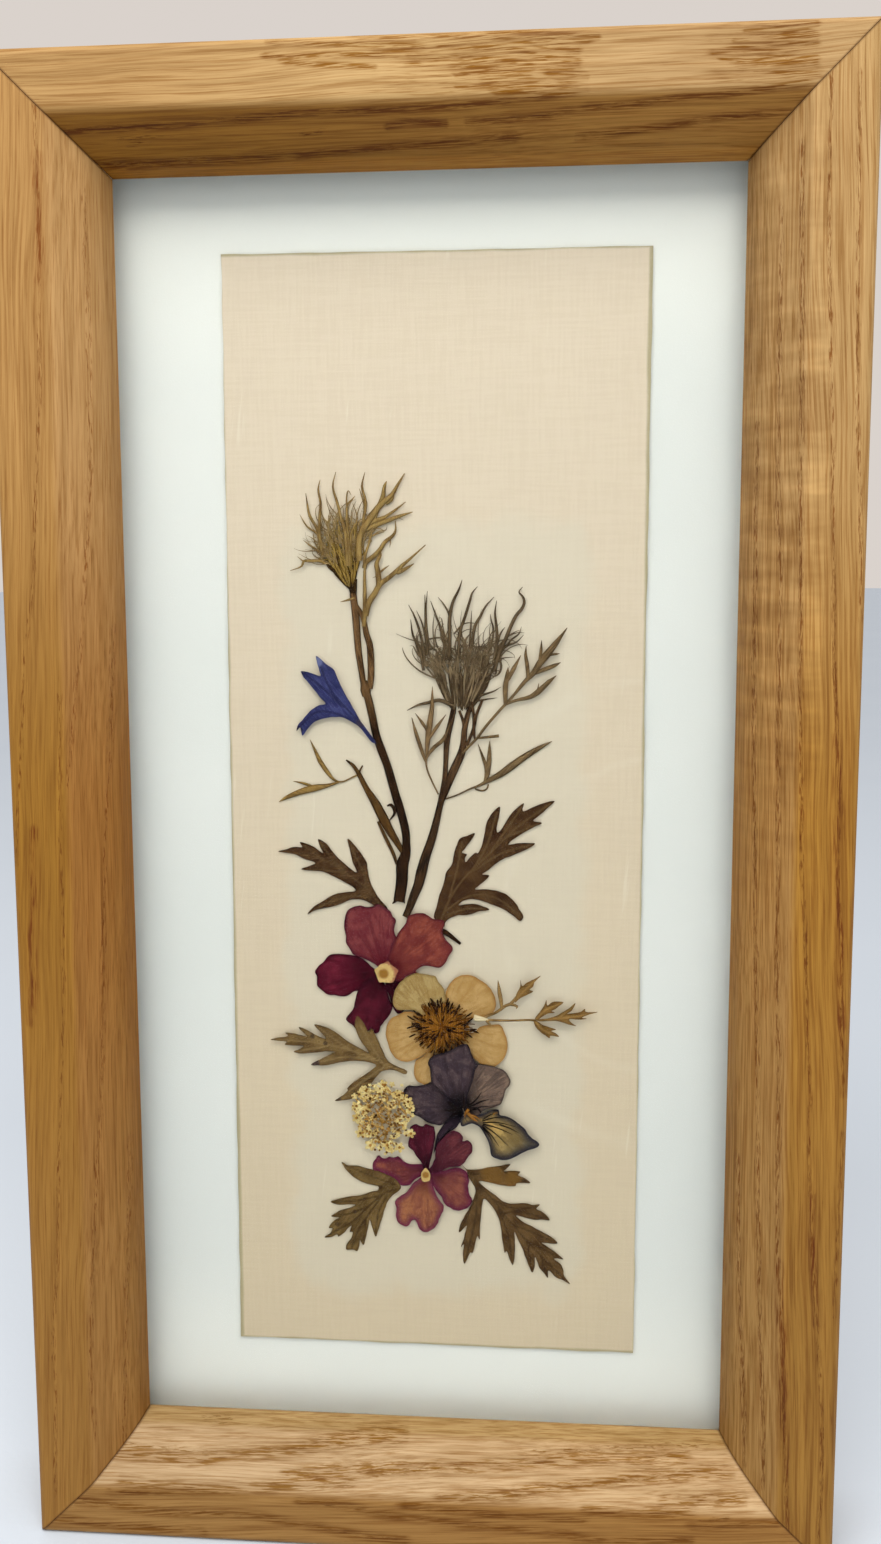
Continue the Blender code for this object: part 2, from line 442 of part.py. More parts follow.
red_petals = [
    ([(-9.5, 112), (-12.5, 112.9), (-14.9, 113.8), (-16.3, 116.2), (-16.6, 119), (-16.5, 121), (-15.9, 122.7),
      (-13.5, 123.7), (-12, 123.4), (-10.2, 124), (-8.2, 123.1), (-7.1, 121.7), (-6.4, 120.8), (-6.8, 118.7),
      (-6.2, 116.9), (-6.9, 116), (-7.6, 113.2), (-8.5, 111.8)], 1, (122, 48, 55)),
    ([(-7.2, 111.4), (-6.6, 114), (-6.2, 118), (-4.5, 120.4), (-4, 121.8), (-2.8, 122.3), (0, 121.9), (3, 120.9),
      (2.7, 118.8), (4.7, 115.5), (3.9, 113.8), (3, 112.2), (1.9, 111.5), (-1, 111.8), (-2.6, 110.6),
      (-4.5, 110), (-6.6, 109.9)], 2, (150, 68, 58)),
    ([(-9.8, 110.6), (-13, 112.8), (-16.5, 113.7), (-19, 113.7), (-20.9, 112), (-22.6, 110), (-22.2, 107.3),
      (-21.5, 106.5), (-20, 105.4), (-16.8, 105.1), (-14.8, 106.2), (-12.2, 107.6), (-10, 109.4)], 0, (92, 22, 40)),
    ([(-9.8, 108.6), (-11.5, 108), (-13.9, 106.5), (-14.6, 104.5), (-15, 102.8), (-16.5, 100.6), (-15, 99.2),
      (-13.3, 98.6), (-11.6, 98.8), (-10.7, 97.7), (-9.6, 99.2), (-8.8, 100.3), (-7.2, 103.3), (-8.1, 106),
      (-8.6, 107.8)], 1, (98, 25, 45)),
    ([(-7.8, 108.4), (-7.9, 106), (-7.4, 103.6), (-5.5, 101.6), (-3.2, 101.4), (-1.8, 103.2), (-2, 105.6),
      (-3.8, 107.6), (-5.8, 108.8)], 0, (98, 28, 44))]
for number, (outline, layer, colour) in enumerate(red_petals, 1):
    pressed(f"red_flower_petal_{number}", [rounded(outline)], layer, PETAL, finish("red petal", colour, 0.8))
pale_eye = finish("flower eye", (214, 190, 130), 0.85)
red_eye = [(-5.9, 110.4), (-7.4, 111.4), (-8.2, 112.7), (-9.4, 111.8), (-10.8, 111.4), (-10.2, 110.2), (-10.7, 108.9),
           (-9.3, 108.8), (-8.3, 108.2), (-7.4, 109.1)]
pressed("red_flower_eye", [red_eye], 3, PETAL, pale_eye)

# ---------------------------------------------------------------- cream flower

cream_petals = [
    ([(-2.9, 102.6), (-5, 102.9), (-6.6, 103.4), (-7, 105.5), (-6.6, 107), (-5.5, 108.5), (-3, 109.8), (-1, 110.3),
      (1.3, 109.8), (2.4, 108), (3.2, 106.6), (2.8, 103), (1.6, 100.8), (-0.6, 101)], 3, (178, 155, 108)),
    ([(-2.5, 102), (-4.5, 102.5), (-7.5, 101), (-8.6, 97.7), (-7.5, 94), (-6.4, 92.7), (-3.5, 92.4), (-1, 93.8),
      (0.6, 96.4), (1.2, 99)], 2, (196, 156, 98)),
    ([(1.8, 98.4), (-0.9, 95), (-2.5, 92.6), (-3, 90), (-1.5, 87.6), (1.4, 86.5), (4.4, 87.6), (5.8, 90.4),
      (5, 94), (3.4, 98)], 1, (200, 155, 95)),
    ([(3.6, 100.2), (9, 99.3), (12, 100), (14, 100), (15.4, 96.5), (14.6, 93), (12, 91.2), (9, 93), (6, 96),
      (3.8, 98.4)], 1, (206, 160, 100)),
    ([(2.6, 102), (3, 104.6), (3.6, 107.5), (5, 109.3), (8.5, 110), (11.8, 107.8), (13.1, 104), (11, 101.8),
      (8, 101), (4, 100.6)], 2, (204, 160, 100))]
for number, (outline, layer, colour) in enumerate(cream_petals, 1):
    pressed(f"cream_flower_petal_{number}", [rounded(outline)], layer, PETAL, finish("cream petal", colour, 0.8))

TUFT_X, TUFT_Z = 2.4, 99.6
tuft = [disc(TUFT_X, TUFT_Z, 3.9, 18)]
for step in range(24):
    turn = 2 * pi * step / 24 + 0.11
    reach = 5.1 + 0.8 * sin(5 * turn) + 0.4 * cos(9 * turn)
    tip_x = TUFT_X + reach * cos(turn) * 1.05
    tip_z = TUFT_Z + reach * sin(turn)
    tuft.append(strand([(TUFT_X + 3 * cos(turn), TUFT_Z + 3 * sin(turn)), (tip_x, tip_z)], 0.7, 0.35))
pressed("cream_flower_stamens", tuft, 4, PETAL, finish("dry stamens", (120, 86, 26), 0.85))

# ---------------------------------------------------------------- fern leaf on the right

fern_stem = strand([(9.5, 101.7), (11.5, 101.5), (16, 101.3), (20.9, 101.5)], [1.4, 1.0, 0.6, 0.6])
fern_upper = strand([(10.3, 101.5), (12.8, 102.7), (15, 104.3), (16.6, 105.3), (17.4, 106)], 0.8)
fern_leaflet = strand([(14.2, 103.5), (14, 106.3), (13.5, 109.4)], 1.0, 0.4)
fern_lobe = strand([(15.4, 104.5), (16.6, 104.5), (17.4, 103.8)], 0.6, 0.4)
fern_blade = [(16.8, 105), (16.8, 106.2), (17.8, 108.1), (17.9, 109.6), (18.2, 108.3), (20.4, 109.7), (21.8, 110.5),
              (20.3, 108.3), (19.7, 107.6), (20.3, 107.3), (18.2, 106.1)]
fern_end = [(20.4, 101.7), (21.6, 103.1), (22.5, 104.5), (22.9, 105.6), (23.1, 104.5), (24.5, 105.3), (26.2, 105.2),
            (24.6, 103.8), (23.9, 103.4), (24.5, 103.1), (22.9, 102.4), (25.3, 102.7), (27.3, 104), (28.5, 105.1),
            (26.9, 102.9), (28.5, 103.1), (30.4, 104), (30.5, 103.4), (32.8, 103.4), (29.8, 102.2), (30.7, 102),
            (27.3, 101.7), (28.7, 100.5), (26.2, 101), (23.5, 101.2), (23, 100.8), (24.8, 99.7), (23.9, 99.4),
            (25.4, 98.25), (23.7, 98.4), (23.6, 97.9), (21.4, 99.5), (20.4, 101.1)]
fern_brown = finish("fern leaf, tan", (142, 117, 68), 0.85)
pressed("fern_leaf", [fern_stem, fern_upper, fern_leaflet, fern_lobe, fern_blade, fern_end], 4, PETAL, fern_brown)

# ---------------------------------------------------------------- olive leaf on the left

olive_leaf = [(-6, 91), (-7.8, 91.9), (-8.5, 92.7), (-9.3, 94.5), (-10.2, 96.6), (-11.5, 98.9), (-12, 98.1),
              (-12.6, 99.3), (-14.2, 101.3), (-14.7, 99.8), (-14.5, 98.5), (-13.8, 96.7), (-12, 93.9),
              (-13.5, 94.6), (-18, 97.5), (-20.2, 98.8), (-22.8, 99.4), (-20.4, 96.6), (-21.8, 96.9),
              (-24, 98.1), (-25.9, 98.8), (-24.2, 96.9), (-26, 97.3), (-28.6, 97.6), (-28.4, 96.8),
              (-31.6, 96.1), (-28.4, 95.7), (-28.8, 95.2), (-25, 94.9), (-27, 93.7), (-25.5, 93.4),
              (-18.8, 93.9), (-20, 93.2), (-23.6, 91.1), (-20.3, 91.1), (-18, 91.7), (-15, 92.1), (-12, 91.9),
              (-10.5, 91.3), (-12.5, 89.5), (-14.8, 87.9), (-16.4, 86.3), (-17.3, 84.9), (-18.9, 83.7),
              (-15, 84.4), (-13.5, 85.5), (-12, 87), (-10.8, 88.5), (-9.5, 90), (-7, 90.4), (-4.5, 89.7),
              (-4.4, 90.4)]
pressed("olive_leaf", [olive_leaf], 2, PETAL, finish("dry leaf, olive green", (122, 102, 58), 0.85))

# ---------------------------------------------------------------- umbellet

umbellet = [rounded([(-9.3, 88), (-12.6, 86.6), (-14.2, 83.4), (-14, 78.6), (-11.8, 75.6), (-8.4, 74.6),
                     (-5.2, 76.6), (-3.9, 80.4), (-4.6, 84.8), (-6.6, 87)])]
outer_florets = [(-9.2, 87.9, 1.5), (-12, 86.7, 1.3), (-14.2, 83.4, 1.4), (-14.4, 80.4, 1.3), (-13.6, 77.6, 1.3),
                 (-11.7, 75.4, 1.4), (-8.4, 74.6, 1.6), (-5.4, 76, 1.3), (-4, 78.4, 1.3), (-4.2, 81, 1.1),
                 (-4.4, 83.6, 1.4), (-6.1, 86, 1.5)]
for x, z, radius in outer_florets:
    umbellet.append(disc(x, z, radius, 7))
pressed("umbellet", umbellet, 4, PETAL, finish("dry umbellet, cream", (206, 186, 138), 0.9))

# ---------------------------------------------------------------- viola

viola_petals = [
    ([(5.6, 83.4), (2.3, 86.8), (0.4, 88.1), (-3, 87.2), (-5, 86.5), (-5.1, 84.3), (-4.6, 82.4), (-1.8, 80.7),
      (2.2, 79.2), (4, 80.5), (6, 82)], 2, (80, 66, 72)),
    ([(6, 84), (4, 85.5), (2, 87.2), (0.6, 88.2), (0.2, 91.5), (0.1, 93.3), (2.6, 94.6), (5.2, 95.8), (7.5, 96.5),
      (8.3, 94.7), (9.6, 92.2), (8.7, 89.5), (7.5, 86), (7.2, 84.6)], 6, (76, 62, 68)),
    ([(7, 84.6), (7.7, 87), (9.6, 92.2), (13, 91.7), (14.5, 91.1), (16, 88.7), (14.8, 86), (14, 84), (11.5, 83),
      (9.2, 81.9), (7.6, 83.2)], 3, (110, 98, 90)),
    ([(6.5, 81.6), (9, 81.7), (12.5, 83), (13.9, 81.9), (17.6, 80.2), (20.4, 77.2), (21.7, 76), (19.8, 74.9),
      (15.8, 72.8), (13, 73), (11.6, 76.5), (9.6, 79.6), (8.2, 79.9), (6.7, 79.6)], 4, (172, 144, 76)),
    ([(6.6, 81), (4, 80.4), (2.5, 78.7), (1.4, 76.6), (0.7, 73.2), (2.6, 75.6), (4.6, 77.9), (6.2, 79.4)], 0,
     (110, 106, 112))]
for number, (outline, layer, colour) in enumerate(viola_petals, 1):
    pressed(f"viola_petal_{number}", [rounded(outline)], layer, PETAL, finish("viola petal", colour, 0.8))

# ---------------------------------------------------------------- pink flower

pink_petals = [
    ([(-1.4, 70.9), (-2.9, 73.1), (-4.2, 74.7), (-4, 76.6), (-3.9, 78.5), (-2.6, 79.4), (-0.8, 79.5), (0.9, 79),
      (1.2, 77), (0.8, 74.5), (0.1, 71.7), (-0.4, 70.6)], 3, (78, 22, 38)),
    ([(0.3, 70.2), (1.2, 74), (3.5, 77.4), (5.3, 78), (6.6, 76.2), (8.6, 74.9), (7.8, 72.9), (6, 70.8),
      (3.7, 70.4), (1.6, 69.4)], 2, (100, 35, 50)),
    ([(0.6, 68.4), (1.9, 69.5), (5.3, 70.3), (7.5, 69.1), (7.7, 66), (8.5, 63.5), (7.4, 61.8), (5.3, 61.3),
      (3, 62.6), (1.7, 64.8), (0.7, 66.8)], 1, (138, 72, 60)),
    ([(-1.5, 68.4), (-4, 66), (-7, 62.9), (-6.8, 59.5), (-5.1, 57.7), (-3.2, 58.9), (-1.3, 56.7), (0.5, 57.2),
      (2, 59.9), (2.7, 62.4), (1.2, 64.7), (0.2, 67.2), (-0.4, 68.2)], 2, (150, 90, 62)),
    ([(-1.7, 68.9), (-1.7, 70.4), (-4.9, 70.9), (-6.3, 72.1), (-9, 71.6), (-10.2, 72.2), (-11.5, 70.4),
      (-9.9, 68.8), (-7, 67.4), (-5.7, 66), (-4, 66.3), (-2.5, 67.8)], 0, (126, 52, 62))]
for number, (outline, layer, colour) in enumerate(pink_petals, 1):
    pressed(f"pink_flower_petal_{number}", [rounded(outline)], layer, PETAL, finish("pink petal", colour, 0.8))
pink_eye = [(-0.9, 70.4), (-1.5, 69.8), (-1.7, 68.8), (-1.2, 67.8), (-0.5, 67.6), (0.2, 68.3), (0.1, 69.3), (-0.3, 70)]
pressed("pink_flower_eye", [pink_eye], 4, PETAL, pale_eye)

# ---------------------------------------------------------------- low leaves

low_leaf_left = [(-5.8, 65.6), (-7.2, 67.2), (-8.1, 68), (-10.4, 68.5), (-13.3, 69.6), (-16.3, 69.9),
                 (-17.75, 70.6), (-16, 68.1), (-14.9, 67.2), (-13.3, 66.4), (-10.4, 65.7), (-11.7, 64.5),
                 (-13.8, 63.7), (-17.9, 62.9), (-20.1, 62.1), (-17.2, 61.6), (-15, 61.6), (-17.9, 60.4),
                 (-20, 59), (-18.3, 58.8), (-19.5, 58.1), (-20.5, 56.5), (-21.4, 54.5), (-18.7, 54.7),
                 (-16.5, 56.7), (-15.9, 57.2), (-16.3, 55.8), (-16, 54.5), (-17, 52.1), (-14.8, 51.7),
                 (-14.2, 54.2), (-13.5, 53.1), (-12.75, 55.8), (-12.2, 58.5), (-11.8, 57.2), (-11, 55),
                 (-9.9, 58.3), (-9.1, 61), (-8.3, 62.9), (-7.2, 64.2), (-6, 65)]
low_leaf_right = [(6.4, 70.6), (7.3, 69.9), (9.8, 69.9), (13.7, 70.7), (16, 71.2), (14.7, 69.7), (18, 69.7),
                  (17.5, 69), (20, 67.4), (17.1, 66.7), (13.9, 66.8), (9.8, 67.4), (12.1, 65.25), (14.8, 63.2),
                  (18.9, 63.1), (21.9, 62.9), (21.2, 62), (22.5, 61.3), (23.9, 59.7), (20.7, 59.7),
                  (17.2, 60.5), (20.3, 58.3), (24.1, 56.2), (25.5, 54.9), (22.3, 54.9), (25, 53), (26.6, 51.5),
                  (24.8, 51.5), (26.6, 49.5), (28, 46.3), (25.3, 47.6), (23.7, 49), (23.6, 47.5), (21.9, 49.6),
                  (21, 51.8), (20.5, 48.5), (19.1, 51.7), (16.9, 57), (17, 53.1), (16.6, 49.9), (15, 52.5),
                  (14.4, 55.8), (13.9, 59.2), (13.2, 61), (10.8, 63.8), (10.2, 59.9), (9.9, 55.1), (9.25, 55.1),
                  (8.5, 52.2), (6.9, 49.8), (6.6, 51.7), (6.2, 53.4), (7.1, 56.7), (5.8, 56.5), (6.9, 59.9),
                  (8.5, 63.1), (9.1, 65.8), (7.7, 68.3), (6.6, 69.6)]
pressed("low_leaf_left", [low_leaf_left], 0, PETAL, finish("dry leaf, brown-green", (115, 91, 50), 0.85))
pressed("low_leaf_right", [low_leaf_right], 0, PETAL, finish("dry leaf, brown", (95, 70, 38), 0.85))
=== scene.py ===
"""The looks of a pressed flower frame: hardwood moulding, glass, and a card of pressed flowers.

Until a mesh is finished its lengths are in millimetres: x from the frame's middle, y back, z from its bottom.
Until a material takes them, colours are red, green and blue as a screen shows them, 0 to 255.
"""

from math import cos, pi, radians, sin
from random import Random

import bpy
import numpy as np
from mathutils import Matrix, Vector, noise


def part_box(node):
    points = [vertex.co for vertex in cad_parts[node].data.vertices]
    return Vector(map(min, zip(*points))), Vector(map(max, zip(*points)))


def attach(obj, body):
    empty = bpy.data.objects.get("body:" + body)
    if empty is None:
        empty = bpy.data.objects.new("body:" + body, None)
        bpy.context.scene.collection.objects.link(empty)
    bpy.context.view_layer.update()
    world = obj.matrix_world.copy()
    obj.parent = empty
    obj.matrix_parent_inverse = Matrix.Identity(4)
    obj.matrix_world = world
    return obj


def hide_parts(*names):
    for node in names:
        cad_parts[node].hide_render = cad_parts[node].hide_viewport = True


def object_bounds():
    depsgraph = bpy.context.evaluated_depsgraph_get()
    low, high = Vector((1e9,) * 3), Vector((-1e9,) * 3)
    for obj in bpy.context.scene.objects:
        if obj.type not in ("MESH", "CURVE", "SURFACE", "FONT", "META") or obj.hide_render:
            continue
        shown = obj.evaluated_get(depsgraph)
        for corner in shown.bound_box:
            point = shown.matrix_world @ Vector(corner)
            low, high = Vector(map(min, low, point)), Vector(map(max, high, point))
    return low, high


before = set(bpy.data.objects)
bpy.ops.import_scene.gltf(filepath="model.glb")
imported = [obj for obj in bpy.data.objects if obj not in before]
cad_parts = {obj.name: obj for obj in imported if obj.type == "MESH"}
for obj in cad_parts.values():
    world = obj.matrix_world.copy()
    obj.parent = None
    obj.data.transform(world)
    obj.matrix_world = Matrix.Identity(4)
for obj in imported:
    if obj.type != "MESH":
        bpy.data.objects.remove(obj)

CAD_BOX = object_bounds()
MM = 0.001

# ---------------------------------------------------------------------------------------------------------
# The photograph's view: a phone held about 25 cm in front of the glass, above the card's middle and a little
# to its right. It looks slightly down and left, so the frame narrows downwards. The shift is its crop.
bpy.ops.object.select_all(action="DESELECT")
bpy.ops.object.camera_add(
    location=(0.01226, -0.25142, 0.19721), rotation=(radians(83.203), radians(0.456), radians(4.546)))
camera = bpy.context.object
camera.name = "camera"
camera.data.lens = 31.35
camera.data.sensor_width = 36.0
camera.data.shift_x = 0.0362
camera.data.shift_y = -0.0545
camera.data.clip_start = 0.01
bpy.context.scene.camera = camera
bpy.context.scene.view_settings.view_transform = "Standard"


# ---------------------------------------------------------------------------------------------------------
# The mount board: smooth white card, faintly cool, that fills the rebate behind the flower card. It carries a
# few specks of dust, and is painted lighter towards its top and bottom ends to offset the frame's shade
# there.
MIX_SHARE, MIX_FIRST, MIX_SECOND, MIX_RESULT = 0, 6, 7, 2  # the colour sockets of Blender's Mix node


def screen(red, green, blue):
    """A screen colour, 0 to 255, as linear shares of red, green and blue."""
    shares = (channel / 255 for channel in (red, green, blue))
    return tuple(share / 12.92 if share <= 0.04045 else ((share + 0.055) / 1.055) ** 2.4 for share in shares)


class Value:
    """A shader socket that Python's own operators work on: each adds the Math node that does it."""

    def __init__(self, finish, socket):
        self.finish = finish
        self.socket = socket

    def maths(self, operation, *values):
        return self.finish.node("ShaderNodeMath", {"operation": operation}, values)

    def __add__(self, other):
        return self.maths("ADD", self, other)

    def __sub__(self, other):
        return self.maths("SUBTRACT", self, other)

    def __rsub__(self, other):
        return self.maths("SUBTRACT", other, self)

    def __mul__(self, other):
        return self.maths("MULTIPLY", self, other)

    def __truediv__(self, other):
        return self.maths("DIVIDE", self, other)

    def __abs__(self):
        return self.maths("ABSOLUTE", self)

    __radd__ = __add__
    __rmul__ = __mul__

    def part(self, start, end):
        """0 at start, 1 at end and smooth between; start may be the greater."""
        return self.finish.node("ShaderNodeMapRange", {"interpolation_type": "SMOOTHSTEP"},
                                [self, start, end])

    def near(self, centre, reach):
        """1 at the centre value, falling to 0 at the reach from it."""
        return abs(self - centre).part(reach, 0)

    def most(self, other):
        return self.maths("MAXIMUM", self, other)


class Finish:
    """A procedural material. node() adds any node: its settings first, then its sockets' values or links."""

    def __init__(self, name, **constants):
        self.material = bpy.data.materials.new(name)
        self.material.use_nodes = True
        self.tree = self.material.node_tree
        self.shader = self.tree.nodes["Principled BSDF"]
        for socket, value in {"Specular_IOR_Level": 0.15, **constants}.items():
            self.shader.inputs[socket.replace("_", " ")].default_value = value
        self.place = self.node("ShaderNodeTexCoord", output="Object")

    def node(self, kind, settings=None, inputs=(), output=0):
        node = self.tree.nodes.new(kind)
        for setting, value in (settings or {}).items():
            setattr(node, setting, value)
        pairs = inputs.items() if isinstance(inputs, dict) else enumerate(inputs)
        for socket, value in pairs:
            if isinstance(value, Value):
                self.tree.links.new(value.socket, node.inputs[socket])
            else:
                node.inputs[socket].default_value = value
        return Value(self, node.outputs[output])

    def point(self, x=0, y=0, z=0, size=(1, 1, 1), turn=0):
        """The place on the piece from a point, turned about Y, in steps of so many millimetres each way."""
        inputs = [self.place, (x * MM, y * MM, z * MM), (0, turn, 0), tuple(step * MM for step in size)]
        return self.node("ShaderNodeMapping", {"vector_type": "TEXTURE"}, inputs)

    def axes(self, vector):
        return [self.node("ShaderNodeSeparateXYZ", None, [vector], axis) for axis in "XYZ"]

    def join(self, x=0, y=0, z=0):
        return self.node("ShaderNodeCombineXYZ", None, [x, y, z])

    def vector(self, operation, *inputs, output="Vector"):
        return self.node("ShaderNodeVectorMath", {"operation": operation}, inputs, output)

    def noise(self, vector, size=1.0, detail=2.0, roughness=0.5):
        """Noise from 0 to 1 whose features are about this size."""
        inputs = {"Vector": vector, "Scale": 1 / size, "Detail": detail, "Roughness": roughness}
        return self.node("ShaderNodeTexNoise", None, inputs)

    def spots(self, vector, size):
        """The distance from the nearest of scattered points, in parts of their spacing."""
        return self.node("ShaderNodeTexVoronoi", None, {"Vector": vector, "Scale": 1 / size}, "Distance")

    def mix(self, share, first, second):
        """Two colours or factors, each a link or three numbers, mixed by a share of the second."""
        first, second = (end if isinstance(end, Value) else (*end, 1) for end in (first, second))
        inputs = {MIX_SHARE: share, MIX_FIRST: first, MIX_SECOND: second}
        return self.node("ShaderNodeMix", {"data_type": "RGBA"}, inputs, MIX_RESULT)

    def blend(self, share, first, second):
        """Two colours mixed; one that isn't a link is its red, green and blue on a screen, 0 to 255."""
        return self.mix(share, *(end if isinstance(end, Value) else screen(*end) for end in (first, second)))

    def scaled(self, colour, share, factor, elsewhere=(1, 1, 1)):
        """A colour times a factor for its red, green and blue where the share is 1."""
        return self.vector("MULTIPLY", colour, self.mix(share, elsewhere, factor))

    def attribute(self, name):
        return self.node("ShaderNodeAttribute", {"attribute_name": name}, output="Fac")

    def paint(self, colour, relief, depth=0.1, roughness=None):
        """Links the colour, a relief whose full depth is in millimetres, and the roughness if it varies."""
        bump = self.node("ShaderNodeBump", None, {"Distance": depth * MM, "Height": relief})
        for socket, value in {"Base Color": colour, "Normal": bump, "Roughness": roughness}.items():
            if value is not None:
                self.tree.links.new(value.socket, self.shader.inputs[socket])
        return self.material


def mount_board_finish():
    board = Finish("white_mount_board", Roughness=0.7)
    point = board.point()
    white = board.blend(board.noise(point, 45, 3), (216, 218, 212), (227, 227, 221))
    height = board.axes(point)[2]
    # Painted light: lighter near the top and bottom ends, against the shade the rails cast on the board
    # there.
    white = board.blend(height.part(222, 262).most(height.part(58, 18)) * 0.9, white, (240, 239, 230))
    dusty = board.spots(point, 13).part(0.028, 0.012) * board.noise(point, 6).part(0.52, 0.62)
    dusted = board.blend(dusty * 0.75, white, (95, 90, 84))
    return board.paint(dusted, relief=board.noise(point, 0.35, 3), depth=0.02)


def refinish(node, material):
    """Gives a CAD node that stays its material."""
    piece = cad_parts[node]
    piece.data.materials.clear()
    piece.data.materials.append(material)


refinish("mount_board", mount_board_finish())


# ---------------------------------------------------------------------------------------------------------
# The flower card: thin cream paper faced with fine cloth, cut a little unevenly and gummed to the board. Its
# edges are dirty, and the film pressed over the bouquet has left a paler patch round it.
CARD_WIDTH, CARD_HEIGHT = 80.1, 216.3
CARD_TURN = 0.0033  # clockwise on the board, in radians
CARD_SQUARE = 1.3  # of the grid that the card is made from
CUT_BAND, CUT_WANDER, CUT_WAVES = 0.5, 0.16, 0.16  # its rim, how far that strays, its waves a millimetre
FILM_WIDTH, FILM_HEIGHT, FILM_DROP = 60.0, 160.0, 19.0


def box_of(node):
    """A node's lowest and highest corners, in millimetres."""
    return [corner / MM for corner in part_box(node)]


def edit():
    bpy.ops.object.mode_set(mode="EDIT")
    bpy.ops.mesh.select_all(action="SELECT")


def thicken(thickness):
    """In edit mode: draws the flat face or grid back along Y into a closed slab."""
    bpy.ops.mesh.extrude_region_move(TRANSFORM_OT_translate={"value": (0, thickness, 0)})
    bpy.ops.mesh.select_all(action="SELECT")
    bpy.ops.mesh.normals_make_consistent(inside=False)
    bpy.ops.object.mode_set(mode="OBJECT")


def slab_of_squares(low, high, step, turn=0.0):
    """A slab of small squares that fills the box between two corners."""
    width, depth, height = high - low
    bpy.ops.object.select_all(action="DESELECT")
    bpy.ops.mesh.primitive_grid_add(
        x_subdivisions=max(2, round(width / step)), y_subdivisions=max(2, round(height / step)), size=1,
        location=((low.x + high.x) / 2, low.y, (low.z + high.z) / 2), rotation=(pi / 2, turn, 0))
    slab = bpy.context.object
    slab.scale = (width, height, 1)
    bpy.ops.object.transform_apply(location=True, rotation=True, scale=True)
    edit()
    thicken(depth)
    return slab


def settle(piece, name, material, slot, *nodes):
    """The finished piece: named, in metres, its place in its mesh, riding on the frame."""
    piece.name = piece.data.name = name
    bpy.ops.object.select_all(action="DESELECT")
    piece.select_set(True)
    bpy.context.view_layer.objects.active = piece
    bpy.ops.object.transform_apply(location=True, rotation=True, scale=True)
    piece.data.transform(Matrix.Scale(MM, 4))
    piece.data.materials.clear()
    piece.data.materials.append(material)
    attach(piece, "root")
    if nodes:
        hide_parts(*nodes)
    return piece


def card_finish(middle_x, middle_z):
    card = Finish("cream_card", Roughness=0.75)
    x, _, z = card.axes(card.point(middle_x, 0, middle_z))
    wobble = card.noise(card.point(), 9, 3)
    weave = card.noise(card.point(size=(0.5, 1, 8))) + card.noise(card.point(size=(8, 1, 0.5)))
    # A mild gradient, darker towards the bottom: partly the card's own tone, partly painted light falling off
    # downwards.
    cream = card.blend(z.part(-110, 100), (209, 191, 161), (214, 198, 175))
    cream = card.blend(weave.part(0.8, 1.25) * 0.16, cream, (193, 174, 144))
    film = (abs(x) + wobble * 9).part(FILM_WIDTH / 2 + 5, FILM_WIDTH / 2 + 1)
    film = film * (abs(z + FILM_DROP) + wobble * 12).part(FILM_HEIGHT / 2 + 6, FILM_HEIGHT / 2)
    cream = card.blend(film * 0.5, cream, (208, 199, 178))
    streak = card.noise(card.point(size=(1.1, 1, 20), turn=0.1)).part(0.66, 0.74)
    cream = card.blend(streak * card.noise(card.point(), 30).part(0.5, 0.6) * 0.35, cream, (224, 214, 194))
    arc = card.vector("LENGTH", card.point(46, 5, 122), output="Value") + wobble * 3
    arcs = arc.near(48, 2.2).most(arc.near(33, 1.6)) * wobble.part(0.35, 0.6)
    cream = card.blend(arcs * 0.13, cream, (228, 219, 200))
    rim = (abs(x) + wobble * 0.5).part(CARD_WIDTH / 2 - 0.55, CARD_WIDTH / 2 + 0.1)
    rim = rim.most((abs(z) + wobble * 0.6).part(CARD_HEIGHT / 2 - 0.5, CARD_HEIGHT / 2 + 0.1))
    return card.paint(card.blend(rim * 0.7, cream, (150, 140, 100)), relief=weave, depth=0.03)


def cloth_faced_card():
    """A slab whose cut edges wander by a few tenths of a millimetre."""
    low, high = box_of("flower_card")
    middle = (low + high) / 2
    half = Vector((CARD_WIDTH / 2, (high.y - low.y) / 2, CARD_HEIGHT / 2))
    card = slab_of_squares(middle - half, middle + half, CARD_SQUARE, CARD_TURN)
    for vertex in card.data.vertices:
        x, _, z = vertex.co - middle
        if abs(x) > half.x - CUT_BAND or abs(z) > half.z - CUT_BAND:
            drawn_in = CUT_WANDER * (1 + noise.noise(Vector((x, 0, z)) * CUT_WAVES))
            vertex.co.x -= drawn_in * x / half.x
            vertex.co.z -= drawn_in * z / half.z
    settle(card, "cloth_faced_card", card_finish(middle.x, middle.z), "cream_card", "flower_card")


cloth_faced_card()


# ---------------------------------------------------------------------------------------------------------
# The two dark leaves that open the bouquet: deeply cut, pressed nearly flat, browned, laid first on the card.
# Each is a sheet of small squares cut to the leaf's outline, then cockled and creased along its veins.
SHEET = 0.12  # the thickness of a pressed leaf or petal
SQUARE = 0.4  # of the squares that a leaf is cut from
MARGIN = 0.5  # of squares past the outline, cut away
CLEAR = 1.0  # how far the cutter stands out in front and behind
EDGE_WAVES, FACE_WAVES = 1.1, 0.45  # how many a millimetre
FAR = 9.0  # past the reach of any mark
RIM_LIFT, RIM_REACH = 0.03, 0.6  # the rim curls forward
CREASE, CREASE_REACH = 0.05, 0.45  # and so does each vein


